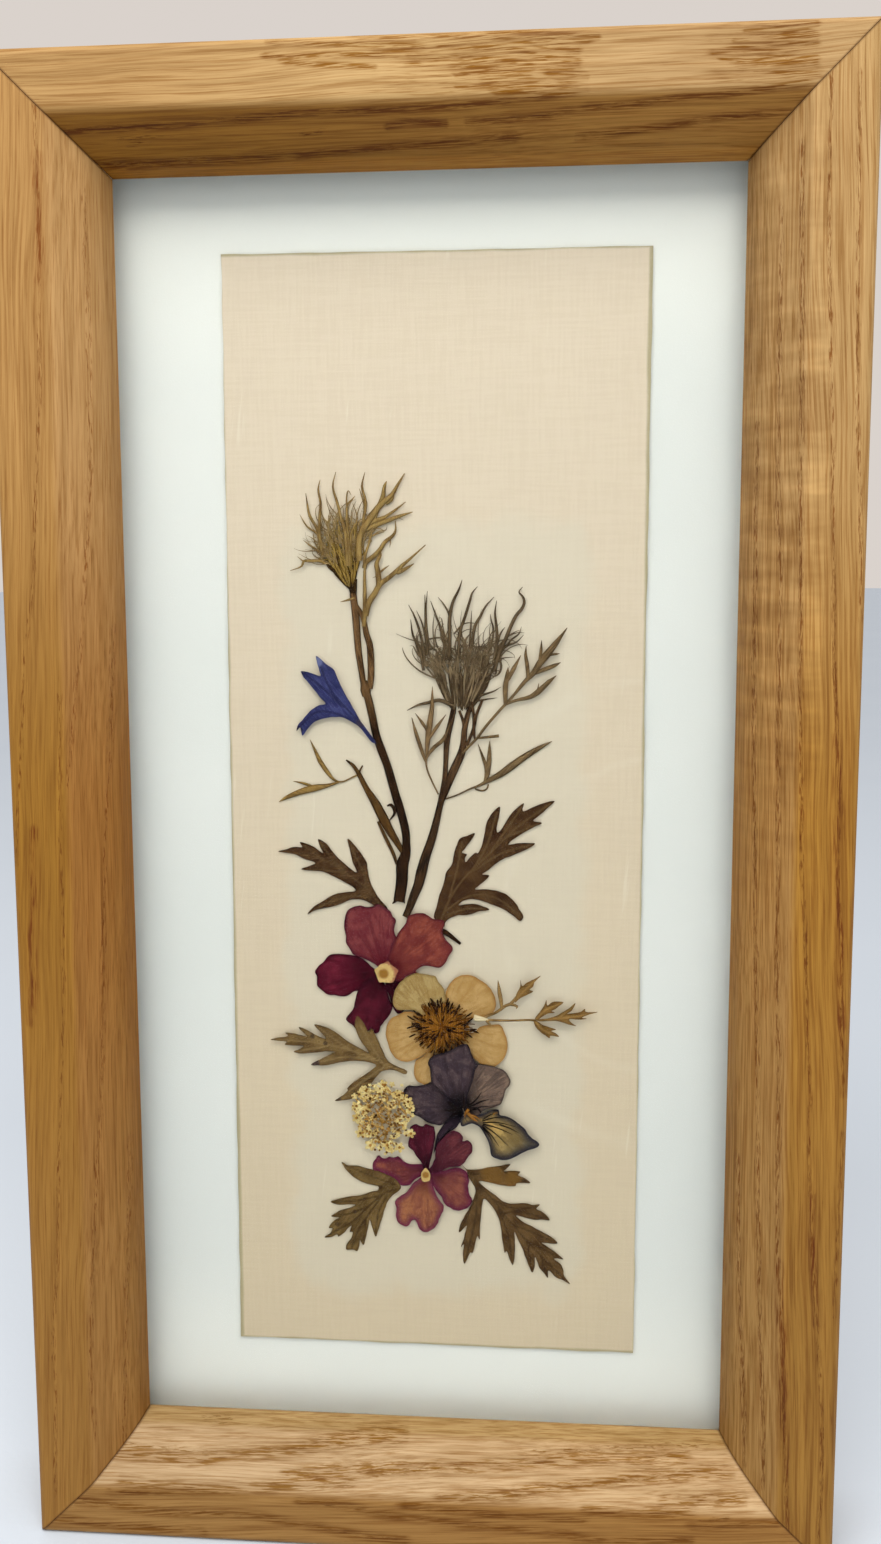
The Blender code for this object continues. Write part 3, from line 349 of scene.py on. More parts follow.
def smooth_line(points, steps=4, closed=False):
    """A curve through the points that doesn't swing out where they lie unevenly (a centripetal spline)."""

    def between(first, second, start, end, now):
        return first + (second - first) * ((now - start) / (end - start))

    points = [Vector(point) for point in points]
    if closed:
        points = [points[-1], *points, points[0], points[1]]
    else:
        points = [2 * points[0] - points[1], *points, 2 * points[-1] - points[-2]]
    line = []
    for a, b, c, d in zip(points, points[1:], points[2:], points[3:]):
        at_b = (b - a).length ** 0.5
        at_c = at_b + (c - b).length ** 0.5
        at_d = at_c + (d - c).length ** 0.5
        for step in range(steps):
            now = at_b + (at_c - at_b) * step / steps
            ab, bc = between(a, b, 0, at_b, now), between(b, c, at_b, at_c, now)
            cd = between(c, d, at_c, at_d, now)
            line.append(between(between(ab, bc, 0, at_c, now), between(bc, cd, at_b, at_d, now), at_b, at_c,
                                now))
    return line if closed else [*line, points[-2]]


def distances(places, lines):
    """How far each place is from the nearest of the lines, in the plane of the card."""
    nearest = np.full(len(places), FAR)
    for line in lines:
        for start, end in zip(line, line[1:]):
            start, run = np.array(start), np.array(end - start)
            share = np.clip((places - start) @ run / max(run @ run, 1e-9), 0, 1)
            nearest = np.minimum(nearest, np.linalg.norm(places - start - share[:, None] * run, axis=1))
    return nearest


def mark(piece, **fields):
    """Keeps numbers on the piece's points for its material to read."""
    for name, numbers in fields.items():
        piece.data.attributes.new(name, "FLOAT", "POINT").data.foreach_set("value", numbers)


def pressed_sheet(name, outline, node, material, slot, veins=(), cockle=0.05, ragged=0.07, fine=SQUARE):
    """A petal or leaf where its CAD node lies: cut from a slab, its edge ragged, its face cockled."""
    front = box_of(node)[1].y - SHEET
    edge = smooth_line(outline, 4, closed=True)
    for place in edge:
        spot = place * EDGE_WAVES
        place += Vector((noise.noise((*spot, 1.0)), noise.noise((*spot, 7.0)))) * ragged
    xs, zs = [place.x for place in edge], [place.y for place in edge]
    low = Vector((min(xs) - MARGIN, front, min(zs) - MARGIN))
    sheet = slab_of_squares(low, Vector((max(xs) + MARGIN, front + SHEET, max(zs) + MARGIN)), fine)
    bpy.ops.mesh.primitive_circle_add(vertices=len(edge), fill_type="NGON")
    cutter = bpy.context.object
    for vertex, place in zip(cutter.data.vertices, edge):
        vertex.co = (place.x, front - CLEAR, place.y)
    edit()
    thicken(2 * CLEAR + SHEET)
    cut = sheet.modifiers.new("outline", "BOOLEAN")
    cut.operation = "INTERSECT"
    cut.object = cutter
    bpy.context.view_layer.objects.active = sheet
    bpy.ops.object.modifier_apply(modifier=cut.name)
    bpy.data.objects.remove(cutter)
    places = np.array([(vertex.co.x, vertex.co.z) for vertex in sheet.data.vertices])
    lines = [smooth_line(vein) for vein in veins]
    to_vein = distances(places, lines)
    to_rim = distances(places, [[*edge, edge[0]]])
    mark(sheet, rim=to_rim, vein=to_vein)
    for vertex, vein_gap, rim_gap in zip(sheet.data.vertices, to_vein, to_rim):
        wave = noise.noise(Vector((vertex.co.x * FACE_WAVES, len(name), vertex.co.z * FACE_WAVES)))
        wave += 0.5 * noise.noise(Vector((vertex.co.x, len(name), vertex.co.z)))
        curl = RIM_LIFT * max(0, 1 - rim_gap / RIM_REACH)
        vertex.co.y -= cockle * wave + curl + CREASE * max(0, 1 - vein_gap / CREASE_REACH)
    sheet.data.shade_smooth()
    sheet.data.set_sharp_from_angle(angle=radians(50))
    return settle(sheet, name, material, slot, node)


def leaf_finish(name, blade, dark, vein, tip, turn, spots=()):
    """A dried leaf: mottled, streaked outwards, with a paler or darker vein and a darker rim."""
    leaf = Finish(name, Roughness=0.72, Specular_IOR_Level=0.04)
    cloud = leaf.noise(leaf.point(), 2.6, 3)
    streak = leaf.noise(leaf.point(size=(0.28, 1, 2.6), turn=turn), 1, 3)
    speck = leaf.noise(leaf.point(), 0.4, 3)
    colour = leaf.blend(cloud.part(0.3, 0.7), blade, dark)
    colour = leaf.blend(streak.part(0.42, 0.72) * 0.45, colour, tip)
    colour = leaf.blend(speck.part(0.55, 0.75) * 0.4, colour, dark)
    colour = leaf.blend(leaf.attribute("vein").part(0.34, 0.06) * 0.75, colour, vein)
    colour = leaf.blend(leaf.attribute("rim").part(0.45, 0.0) * 0.55, colour, dark)
    for x, z, size, shade in spots:
        gap = leaf.vector("LENGTH", leaf.point(x, 4.4, z, (size, 60, size)), output="Value")
        colour = leaf.blend((gap + cloud * 0.7).part(1.5, 0.9) * 0.85, colour, shade)
    return leaf.paint(colour, relief=streak + speck, depth=0.12)


def dark_leaves():
    left = [
        (-8, 122.8), (-10, 125.5), (-11.3, 128), (-11.9, 130.5), (-12.1, 132.3), (-13, 133.8),
        (-14.5, 135.8), (-15.8, 137), (-15.4, 135), (-14.9, 132.5), (-14.1, 130.3), (-16.5, 132),
        (-18.5, 134), (-20, 136), (-21.6, 136.8), (-21.2, 135.3), (-20.6, 134), (-22.5, 135.3),
        (-25.2, 136.2), (-24.7, 135.2), (-26.5, 135.2), (-28, 134.7), (-29.5, 134.3), (-27.5, 134),
        (-26, 133.7), (-24.5, 132.9), (-22.2, 132.1), (-23.5, 131.4), (-25, 130.8), (-23, 130.5),
        (-21, 130.4), (-19, 129.6), (-16.5, 128.3), (-14.8, 127.3), (-14.3, 126.6), (-16, 126.3),
        (-18.5, 125.8), (-21, 124.3), (-22.7, 123.2), (-23.9, 121.7), (-22.5, 122.5), (-20, 123.1),
        (-17.5, 123.8), (-15.5, 124.7), (-14, 124.9), (-12.2, 124.5), (-10.5, 123.5), (-9.5, 122.5)]
    left_veins = [
        [(-9, 123), (-11.5, 126.5), (-16, 130), (-20.5, 132.7), (-28.5, 134.3)],
        [(-12, 127.5), (-13.3, 131.5), (-15.5, 136)], [(-15.5, 129.6), (-18.5, 132.5), (-21.3, 136.2)],
        [(-20, 132.4), (-24.5, 135.6)], [(-11.5, 125.3), (-16, 125.4), (-20, 124), (-23, 122.3)],
        [(-16.5, 130.2), (-20, 130.6), (-24, 130.8)]]
    right = [
        (1, 121.5), (1.5, 123.5), (2.1, 126), (3, 128.5), (3.4, 130.5), (4.5, 132), (5, 134.5), (5.5, 136),
        (6.2, 137.3), (7.5, 137.8), (9, 138.3), (8, 136.6), (7, 135.2), (6.5, 134.5), (7.5, 134.1),
        (7.1, 133.5), (7.2, 132.6), (8, 133.5), (9.2, 134.5), (9.5, 134.4), (10.3, 135.8), (10.8, 138),
        (11.3, 140.5), (12.3, 142.3), (13.8, 143.6), (13.6, 141.5), (13.2, 139.5), (13.3, 138.5), (14, 139),
        (14.8, 140.3), (15.8, 142), (17, 143.3), (18.4, 144.3), (18.2, 143.3), (18.3, 142.7), (20, 143.5),
        (22, 144.3), (24.3, 144.8), (23, 143.5), (21.5, 142), (20.2, 140.9), (21.9, 140.5), (20.5, 139.7),
        (18, 138.3), (16.3, 137.1), (15.4, 136.1), (17, 136.4), (19, 136.5), (20.6, 136.4), (19.5, 135.5),
        (18, 134.8), (16, 133.9), (14.5, 133.3), (13, 132.3), (11.5, 131), (10.4, 130.2), (11.8, 130),
        (11, 129), (9.8, 128), (9, 127.2), (11, 127.2), (13, 127), (15, 126.3), (16.5, 125), (17.6, 123.4),
        (18.4, 121.8), (17.8, 121), (16.5, 122), (14.5, 123.3), (12, 124.3), (10, 125), (8, 125.2),
        (6.5, 124.7), (5.8, 124), (7.5, 124.2), (9, 124.3), (10.3, 123.9), (11.8, 123.2), (9.8, 122.8),
        (8.5, 122.3), (7.3, 122), (5.5, 121.9), (4.2, 121.3), (3.3, 120.6), (2.9, 119.5)]
    right_veins = [
        [(2.2, 120.5), (4, 125), (7, 129.5), (12, 134.5), (17, 139.5), (23.5, 144.3)],
        [(4, 125.5), (5.5, 131), (6.5, 136.5)], [(8.5, 131), (11.3, 136), (13.2, 142.5)],
        [(12, 134.6), (15.5, 139.8), (18, 143.5)], [(9, 131), (14, 134.4), (20, 136.2)],
        [(15, 137.6), (21.5, 140.4)], [(3, 122.6), (8, 125.9), (13, 125.6), (18, 121.8)],
        [(3.5, 122), (7.5, 123.3), (11.3, 123.3)]]
    left_skin = leaf_finish("dark_leaf_left", (88, 63, 37), (56, 33, 17), (92, 70, 44), (66, 44, 24), 0.9)
    right_skin = leaf_finish("dark_leaf_right", (84, 59, 34), (54, 32, 16), (96, 73, 45), (66, 44, 24), -0.6)
    pressed_sheet("browned_leaf_left", left, "dark_leaf_left", left_skin, "dark_leaf", left_veins)
    pressed_sheet("browned_leaf_right", right, "dark_leaf_right", right_skin, "dark_leaf", right_veins)


dark_leaves()


# ---------------------------------------------------------------------------------------------------------
# The two bare stalks that the heads stand on, the side branch and the loose bit of stalk. They are pressed to
# flat ribbons, nearly black at the edges, and each is drawn as a curve whose width follows the real one's.
STALK_FLAT = 0.18  # a pressed stalk's thickness as a share of its width
THINNEST = 0.03  # the least radius of a strand
UNEVEN = 0.5  # how much the strands of a piece lie one over the other


def strands(name, lines, node, material, slot, flat=STALK_FLAT, sides=1, sink=0.5):
    """Stalks or threads as one curve of round lines, made a mesh and pressed flat where their CAD node lies.

    A line is its points and its widths. sink is how deep it lies: 0 at the node's front, 1 at its back.
    """
    low, high = box_of(node)
    bpy.ops.object.select_all(action="DESELECT")
    bpy.ops.curve.primitive_nurbs_path_add(location=(0, 0, 0))
    piece = bpy.context.object
    curve = piece.data
    curve.splines.clear()
    curve.bevel_depth = 1.0
    curve.bevel_resolution = sides
    curve.use_fill_caps = True
    for index, (points, widths) in enumerate(lines):
        route = smooth_line(points, 3)
        shares = np.linspace(0, 1, len(route))
        wide = np.interp(shares, np.linspace(0, 1, len(widths)), widths) / 2
        room = (high.y - low.y) / 2 - flat * max(wide)
        deep = sink + UNEVEN * noise.noise(Vector((index * 3.7, len(name), 0.5)))
        y = (low.y + high.y) / 2 + (deep * 2 - 1) * max(room, 0)
        spline = curve.splines.new("POLY")
        spline.points.add(len(route) - 1)
        for point, place, radius in zip(spline.points, route, wide):
            point.co = (place.x, y / flat, place.y, 1)
            point.radius = max(radius, THINNEST)
    bpy.ops.object.convert(target="MESH")
    piece = bpy.context.object
    piece.scale = (1, flat, 1)
    piece.data.shade_smooth()
    return settle(piece, name, material, slot, node)


def stalk_finish(name, middle, edge, streak, turn=0.0, outline=0.95, paler=None):
    """A dried stalk: dark edges, a paler middle, long ribs; paler is a height, and a factor above it."""
    stalk = Finish(name, Roughness=0.6, Specular_IOR_Level=0.04)
    facing = abs(stalk.axes(stalk.node("ShaderNodeNewGeometry", output="Normal"))[1])
    ribs = stalk.noise(stalk.point(size=(0.22, 1, 5), turn=turn), 1, 3)
    cloud = stalk.noise(stalk.point(), 3, 2)
    colour = stalk.blend(cloud.part(0.35, 0.7), middle, edge)
    colour = stalk.blend(ribs.part(0.45, 0.65) * 0.6, colour, streak)
    colour = stalk.blend(facing.part(outline, outline - 0.3), colour, edge)
    if paler:
        height, factor = paler
        rise = stalk.axes(stalk.point(0, 0, height))[2] + cloud * 4
        colour = stalk.scaled(colour, rise.part(-3, 6), factor)
    return stalk.paint(colour, relief=ribs, depth=0.15)


def stalks():
    near_black = stalk_finish(
        "near_black_stalk", (45, 26, 10), (22, 9, 2), (64, 40, 20), -0.2, paler=(163, (5, 6.4, 8)))
    black = stalk_finish(
        "black_stalk", (54, 35, 19), (20, 10, 4), (88, 61, 36), 0.25, paler=(148, (1.7, 1.8, 2)))
    tan = stalk_finish("tan_branch", (74, 48, 19), (44, 25, 8), (100, 72, 36), turn=-0.35)
    left = [
        ([(-14.2, 184.8), (-13.7, 180), (-13.3, 174), (-12.9, 171), (-12.4, 167.5), (-12.2, 166.5)],
         (1.3, 1.4, 1.3, 1.2, 1.1, 1.1)),
        ([(-13.9, 183), (-12.4, 180.3), (-11.7, 177), (-11.1, 175), (-10.9, 172), (-10.9, 169),
          (-11.2, 166.5)], (0.7, 1.0, 1.2, 1.3, 1.3, 1.2)),
        ([(-12.3, 168), (-12, 166.3), (-11.8, 165)], (1.2, 2.0, 1.6)),
        ([(-12, 166), (-11.6, 165), (-10.7, 161), (-10, 157.5), (-9, 154.5), (-8, 151.8), (-7.2, 149),
          (-6.4, 146), (-5.8, 144), (-5.1, 141.5), (-4.5, 139), (-4.3, 136.5), (-4.5, 134), (-5.1, 132),
          (-5.2, 129), (-5.6, 126), (-5.9, 124.6)],
         (1.4, 1.5, 1.5, 1.5, 1.6, 1.5, 1.6, 1.6, 1.7, 1.6, 1.6, 1.5, 2.0, 2.4, 2.3, 2.2, 2.0)),
        ([(-5.6, 127), (-6.3, 125), (-7.1, 124.1)], (1.0, 0.8, 0.2)),
        ([(-5.2, 126.5), (-5, 125.2), (-4.7, 124.2)], (1.0, 0.7, 0.2)),
        ([(-8, 143.6), (-7.2, 143.8), (-6.5, 142.3), (-7.6, 140.7)], (0.3, 0.7, 0.6, 0.2))]
    right = [
        ([(4.9, 162.5), (4.4, 160), (3.7, 157), (3.4, 152), (3.2, 149), (2.8, 146), (2.2, 143.5), (1.4, 140),
          (0.6, 137), (-0.6, 133.5), (-1.4, 130.5), (-2, 128), (-3, 125.5), (-3.9, 123), (-4.6, 121.5)],
         (1.0, 1.1, 1.2, 0.9, 1.0, 1.3, 1.2, 1.4, 1.6, 1.8, 2.1, 1.9, 1.7, 1.4, 1.3)),
        ([(8.1, 163), (7.5, 161), (7, 158.5), (6.8, 156), (6.4, 154), (5.3, 151.5), (4.2, 149), (3.3, 146.5),
          (2.6, 144.5)], (0.8, 1.0, 1.1, 1.2, 1.5, 1.6, 1.6, 1.3, 0.9)),
        ([(6, 162.3), (6.8, 160), (6.9, 157.5)], (0.5, 0.6, 0.4)),
        ([(8.4, 164), (8.8, 161), (8.8, 158), (9, 156.7)], (0.4, 0.6, 0.6, 0.3)),
        ([(10.5, 164.5), (9.3, 161.5), (8.8, 159), (7.4, 155.5)], (0.5, 0.6, 0.6, 0.6))]
    branch = [
        ([(-13.6, 150.2), (-12, 147), (-10.2, 144), (-8.7, 141), (-7.4, 138.5), (-5.9, 136), (-5, 134.3)],
         (0.9, 1.1, 1.7, 1.9, 1.6, 1.2, 0.8)),
        ([(-9.8, 140.5), (-8.2, 137), (-6.8, 134), (-6.2, 132)], (0.5, 0.7, 0.7, 0.5)),
        ([(-13.4, 149.8), (-14.5, 151.5), (-15.9, 152.6)], (0.8, 0.7, 0.3)),
        ([(-13.5, 150), (-12.7, 151.5)], (0.4, 0.3))]
    loose = [([(-0.8, 120.2), (2.3, 118.8), (3.2, 118.5), (6.2, 116.2)], (1.0, 1.3, 1.2, 0.6))]
    strands("left_stalk", left, "left_stem", near_black, "dark_stalk", sides=2)
    strands("right_stalk", right, "right_stem", black, "dark_stalk", sides=2)
    strands("forked_branch", branch, "side_branch", tan, "tan_stalk", sides=2)
    strands("loose_bit", loose, "loose_stalk", near_black, "tan_stalk")


stalks()


# ---------------------------------------------------------------------------------------------------------
# The left head: an umbel in bud, pressed on its side. Tan rays and flat pods fan from the stalk's top over a
# darker fan of strands that paints the shade between them, finer threads curl out between them, and forked
# bracts stand round the outside.
CURL_STEPS = 8  # along a thread


def taper(points, width):
    """A line that thins to a point."""
    return points, (width * 0.9, width, width * 0.85, width * 0.6, width * 0.15)


def fan(rng, base, sides, tiers):
    """Flat lobes that stand round a base, between two headings, in tiers of (count, start, length, width)."""
    lines = []
    for count, start, length, width in tiers:
        for index in range(count):
            heading = sides[0] + (sides[1] - sides[0]) * (index + rng.uniform(0.2, 0.8)) / count
            bend = rng.uniform(-0.09, 0.09)
            near, far = start * rng.uniform(0.8, 1.2), start + length * rng.uniform(0.8, 1.15)
            places = ((near, heading), ((near + far) / 2, heading + bend), (far, heading + bend / 2))
            points = [base + reach * Vector((sin(angle), cos(angle))) for reach, angle in places]
            lines.append((points, (0.2, width * 0.8, width, width * 0.6, 0.12)))
    return lines


def curls(rng, base, sides, count, starts, ends, width, sway):
    """Fine threads that rise between two headings, swaying, so that they cross and curl over."""
    lines = []
    for _ in range(count):
        heading, turn = rng.uniform(*sides), rng.uniform(-0.3, 0.3)
        near, far = rng.uniform(*starts), rng.uniform(*ends)
        phase, turns, swing = rng.uniform(0, 6), rng.uniform(2, 6.5), sway * rng.uniform(0.3, 1)
        points = []
        for step in range(CURL_STEPS + 1):
            share = step / CURL_STEPS
            reach = near + (far - near) * share + swing * share * cos(phase + turns * share)
            angle = heading + turn * share + swing * share * sin(phase + turns * share) / reach
            points.append(base + reach * Vector((sin(angle), cos(angle))))
        lines.append(taper(points, width * rng.uniform(0.7, 1.2)))
    return lines


def left_head():
    rng = Random(11)
    base = Vector((-14.3, 184.9))
    tan = stalk_finish("tan_pods", (134, 106, 48), (58, 38, 12), (172, 144, 76), 0.1, outline=0.99)
    umber = stalk_finish("umber_top_and_shade", (62, 42, 17), (42, 27, 9), (84, 60, 28), 0.1)
    pale = stalk_finish("pale_threads", (140, 116, 76), (100, 76, 44), (166, 142, 98), 0.1)
    bract = stalk_finish("tan_bracts", (142, 115, 66), (104, 78, 42), (162, 134, 82), 0.2)
    # The stalk's top and, under the pods, a dark fan of strands: painted shade in the gaps between the pods.
    rays = [([(-14.3, 187.5), (-14.2, 185.4), (-14.0, 183.6)], (2.2, 1.7, 1.0))]
    rays += fan(rng, base, (-0.7, 0.18), [(16, 0.6, 8.5, 1.25), (9, 5, 5, 0.9)])
    pods = fan(rng, base, (-0.68, 0.14), [(6, 1.4, 4.6, 0.8), (9, 3.8, 4.6, 0.9), (11, 6.4, 4.0, 0.85)])
    pods += fan(rng, base, (-0.32, 0.1), [(6, 9.0, 3.8, 0.75), (4, 11, 3.6, 0.7)])
    pods += curls(rng, base, (-0.66, 0.16), 22, (5, 9), (9, 13), 0.36, 1.6)
    fine = curls(rng, base, (-0.7, 0.2), 60, (6, 10), (9.5, 14), 0.27, 1.9)
    fine += curls(rng, base, (-0.42, 0.36), 62, (8, 13), (11.5, 18), 0.3, 2.1)
    bracts = [taper(points, width) for points, width in [
        ([(-20, 192), (-20.5, 196.5), (-20.4, 199), (-20.2, 202), (-20.6, 204.5), (-20.2, 206.3)], 0.75),
        ([(-20.2, 193), (-20.9, 197), (-22.3, 199.5), (-22.7, 201.5), (-23, 203.8)], 0.7),
        ([(-20.2, 194), (-20.8, 196), (-22.8, 197.5), (-24.2, 199.8)], 0.55),
        ([(-19.5, 190.6), (-20.6, 191), (-22.6, 191), (-23.5, 191), (-24, 190), (-26.2, 189.2)], 0.75),
        ([(-22.4, 191), (-23.6, 191), (-24.8, 191.9)], 0.4),
        ([(-20.4, 192.6), (-21.2, 193.3), (-22.4, 194), (-23.6, 195)], 0.5),
        ([(-15.2, 190), (-15.5, 196), (-16.3, 199), (-17, 202), (-17.8, 205), (-17.2, 207.7)], 0.8),
        ([(-14.8, 190), (-15, 195), (-15.2, 199), (-15.1, 201.5), (-14.2, 202.5), (-13.6, 203.2)], 0.65),
        ([(-15.2, 200.5), (-15.2, 203), (-14.9, 204.2), (-14.3, 203.3)], 0.35),
        ([(-14.2, 192), (-14.5, 196), (-13.2, 199), (-14.1, 201.8)], 0.5),
        ([(-12.7, 193), (-12, 199), (-11.6, 202), (-12.3, 205), (-11.7, 207.6)], 0.75),
        ([(-12.2, 197), (-11.9, 201.5), (-12.4, 203.3), (-12.8, 204.6)], 0.4),
        ([(-12.9, 191), (-12.8, 195.5), (-11, 198.6), (-9.4, 200.8), (-8, 202.2), (-6.6, 203.4),
          (-5.5, 205.2), (-4.2, 207.3)], 1.5),
        ([(-10.4, 198), (-9.6, 200.2), (-8.4, 202.8), (-8, 205), (-7.6, 205.9)], 1.2),
        ([(-7.9, 201.8), (-6.8, 202.6), (-6.2, 203.4)], 1.3),
        ([(-12, 197), (-10, 198.5), (-8, 199.2), (-6, 200.5), (-4, 202)], 0.9),
        ([(-12.5, 196.5), (-10, 197.6), (-7, 198.7), (-5, 199.4), (-2.7, 200.1)], 1.2),
        ([(-12, 190.5), (-11.8, 192), (-10.8, 195), (-10.2, 198)], 0.7),
        ([(-12, 189.5), (-11.7, 190.6), (-10.2, 191.8), (-9, 193), (-8, 194.5), (-6.6, 195.6), (-6, 196.6),
          (-6, 198.5)], 1.1),
        ([(-7.2, 195), (-7, 194.8), (-7.1, 193.4)], 0.35),
        ([(-10.9, 195), (-10.5, 195.6), (-8, 196.5)], 0.45),
        ([(-18.6, 197), (-19, 198), (-18.6, 198.7), (-17.9, 200.5)], 0.35)]]
    strands("bud_rays_left", rays, "left_bud", umber, "tan_bud", flat=0.14, sink=0.95)
    strands("bud_pods_left", pods, "left_bud", tan, "tan_bud", flat=0.2, sink=0.5)
    strands("bud_threads_left", fine, "left_bud", pale, "tan_bud", flat=0.35, sink=0.45)
    strands("bracts_left", bracts, "left_bud", bract, "tan_bud", flat=0.14, sink=0.2)
    sprig = [taper(points, width) for points, width in [
        ([(-12.2, 178.5), (-12, 180), (-11.9, 185), (-11.9, 189), (-11.6, 191)], 1.0),
        ([(-11.8, 180.5), (-11.6, 181.5), (-11.2, 183), (-10, 184.8), (-9, 186.5), (-7, 188), (-5, 189.8),
          (-3, 191.5), (-0.3, 193.9)], 1.4),
        ([(-5.9, 188.9), (-5.5, 188.8), (-4, 189.5), (-2.5, 190.4)], 1.1),
        ([(-9.3, 186), (-9.2, 186.8), (-9.4, 189), (-9.6, 190.5), (-8.9, 192), (-8.9, 193)], 1.3),
        ([(-9.4, 187.4), (-9.3, 188.4), (-8.2, 189.4), (-7.2, 190.1)], 0.6),
        ([(-9.1, 188), (-9.2, 188.2), (-10.4, 187.7)], 0.4),
        ([(-9.5, 185.2), (-9.6, 185.5), (-9.8, 186.2)], 0.4),
        ([(-13.9, 184), (-15, 183.6), (-16.6, 183.2)], 0.6)]]
    strands("leafy_sprig", sprig, "left_bud_sprig", bract, "tan_stalk", flat=0.12)


left_head()


# ---------------------------------------------------------------------------------------------------------
# The yellowed leaf on the side branch, drawn with narrow lobes, and the outer floret of a blue cornflower: a
# narrow tube that opens into four pointed lobes, its blue kept in drying.
def yellow_leaf_and_floret():
    straw = stalk_finish("straw_leaf", (142, 112, 60), (98, 72, 34), (162, 130, 76), -1.2)
    lobes = [
        ([(-13.7, 149.6), (-15, 149), (-16.5, 148.3), (-17.5, 148.2)], (0.35, 0.35, 0.35, 0.45)),
        ([(-17.3, 148.1), (-18.5, 148.8), (-19.7, 150.3), (-21, 152.3), (-22, 154.5), (-22.9, 156.5)],
         (0.45, 0.6, 1.0, 1.0, 0.6, 0.12)),
        ([(-17.3, 148.2), (-19.5, 147.5), (-22, 147), (-24, 146.5), (-26, 145.8), (-27.8, 145),
          (-29.2, 144.2)], (0.45, 0.8, 1.6, 1.5, 1.2, 0.8, 0.12)),
        ([(-22, 147), (-24, 147.8), (-26.3, 148.3)], (0.6, 0.6, 0.12))]
    strands("yellowed_leaf", lobes, "yellow_leaf", straw, "yellow_leaf", flat=0.09, sink=0.8)
    floret = [
        (-10, 156), (-12.9, 160.2), (-14.5, 163), (-16.3, 166.3), (-17.5, 169), (-18, 170.2), (-19.5, 171.3),
        (-21.4, 172.9), (-21.3, 171.8), (-20.8, 170), (-20.6, 169), (-22.5, 169.6), (-24.4, 169.9),
        (-24.2, 169.3), (-22, 166.5), (-20.5, 164.6), (-19.7, 163.6), (-21, 163.3), (-22.8, 162.1),
        (-24.2, 160.5), (-25.2, 159.3), (-25.4, 158.3), (-24.7, 159), (-24.3, 157.4), (-23.3, 158.6),
        (-22, 160), (-20.6, 160.6), (-18.6, 161), (-16.5, 161), (-15, 160.3), (-13.4, 159.3), (-12.2, 157.9),
        (-10.8, 156.2)]
    folds = [[(-10.5, 156.5), (-15, 162), (-18.5, 166), (-20.9, 171.8)],
             [(-16.5, 163), (-20, 166.5), (-24, 169.6)],
             [(-12, 158.4), (-17, 161.5), (-21.5, 162), (-25, 158.9)]]
    blue = leaf_finish(
        "cornflower_blue", (57, 60, 104), (36, 37, 76), (28, 26, 56), (84, 87, 130), -0.7,
        spots=[(-21, 171.8, 1.0, (104, 108, 144)), (-25, 158.6, 0.9, (24, 22, 50)),
               (-24, 169.7, 0.7, (28, 28, 58)), (-13, 160, 1.0, (56, 48, 60))])
    pressed_sheet("cornflower_floret", floret, "blue_floret", blue, "blue_floret", folds, fine=0.3)


yellow_leaf_and_floret()
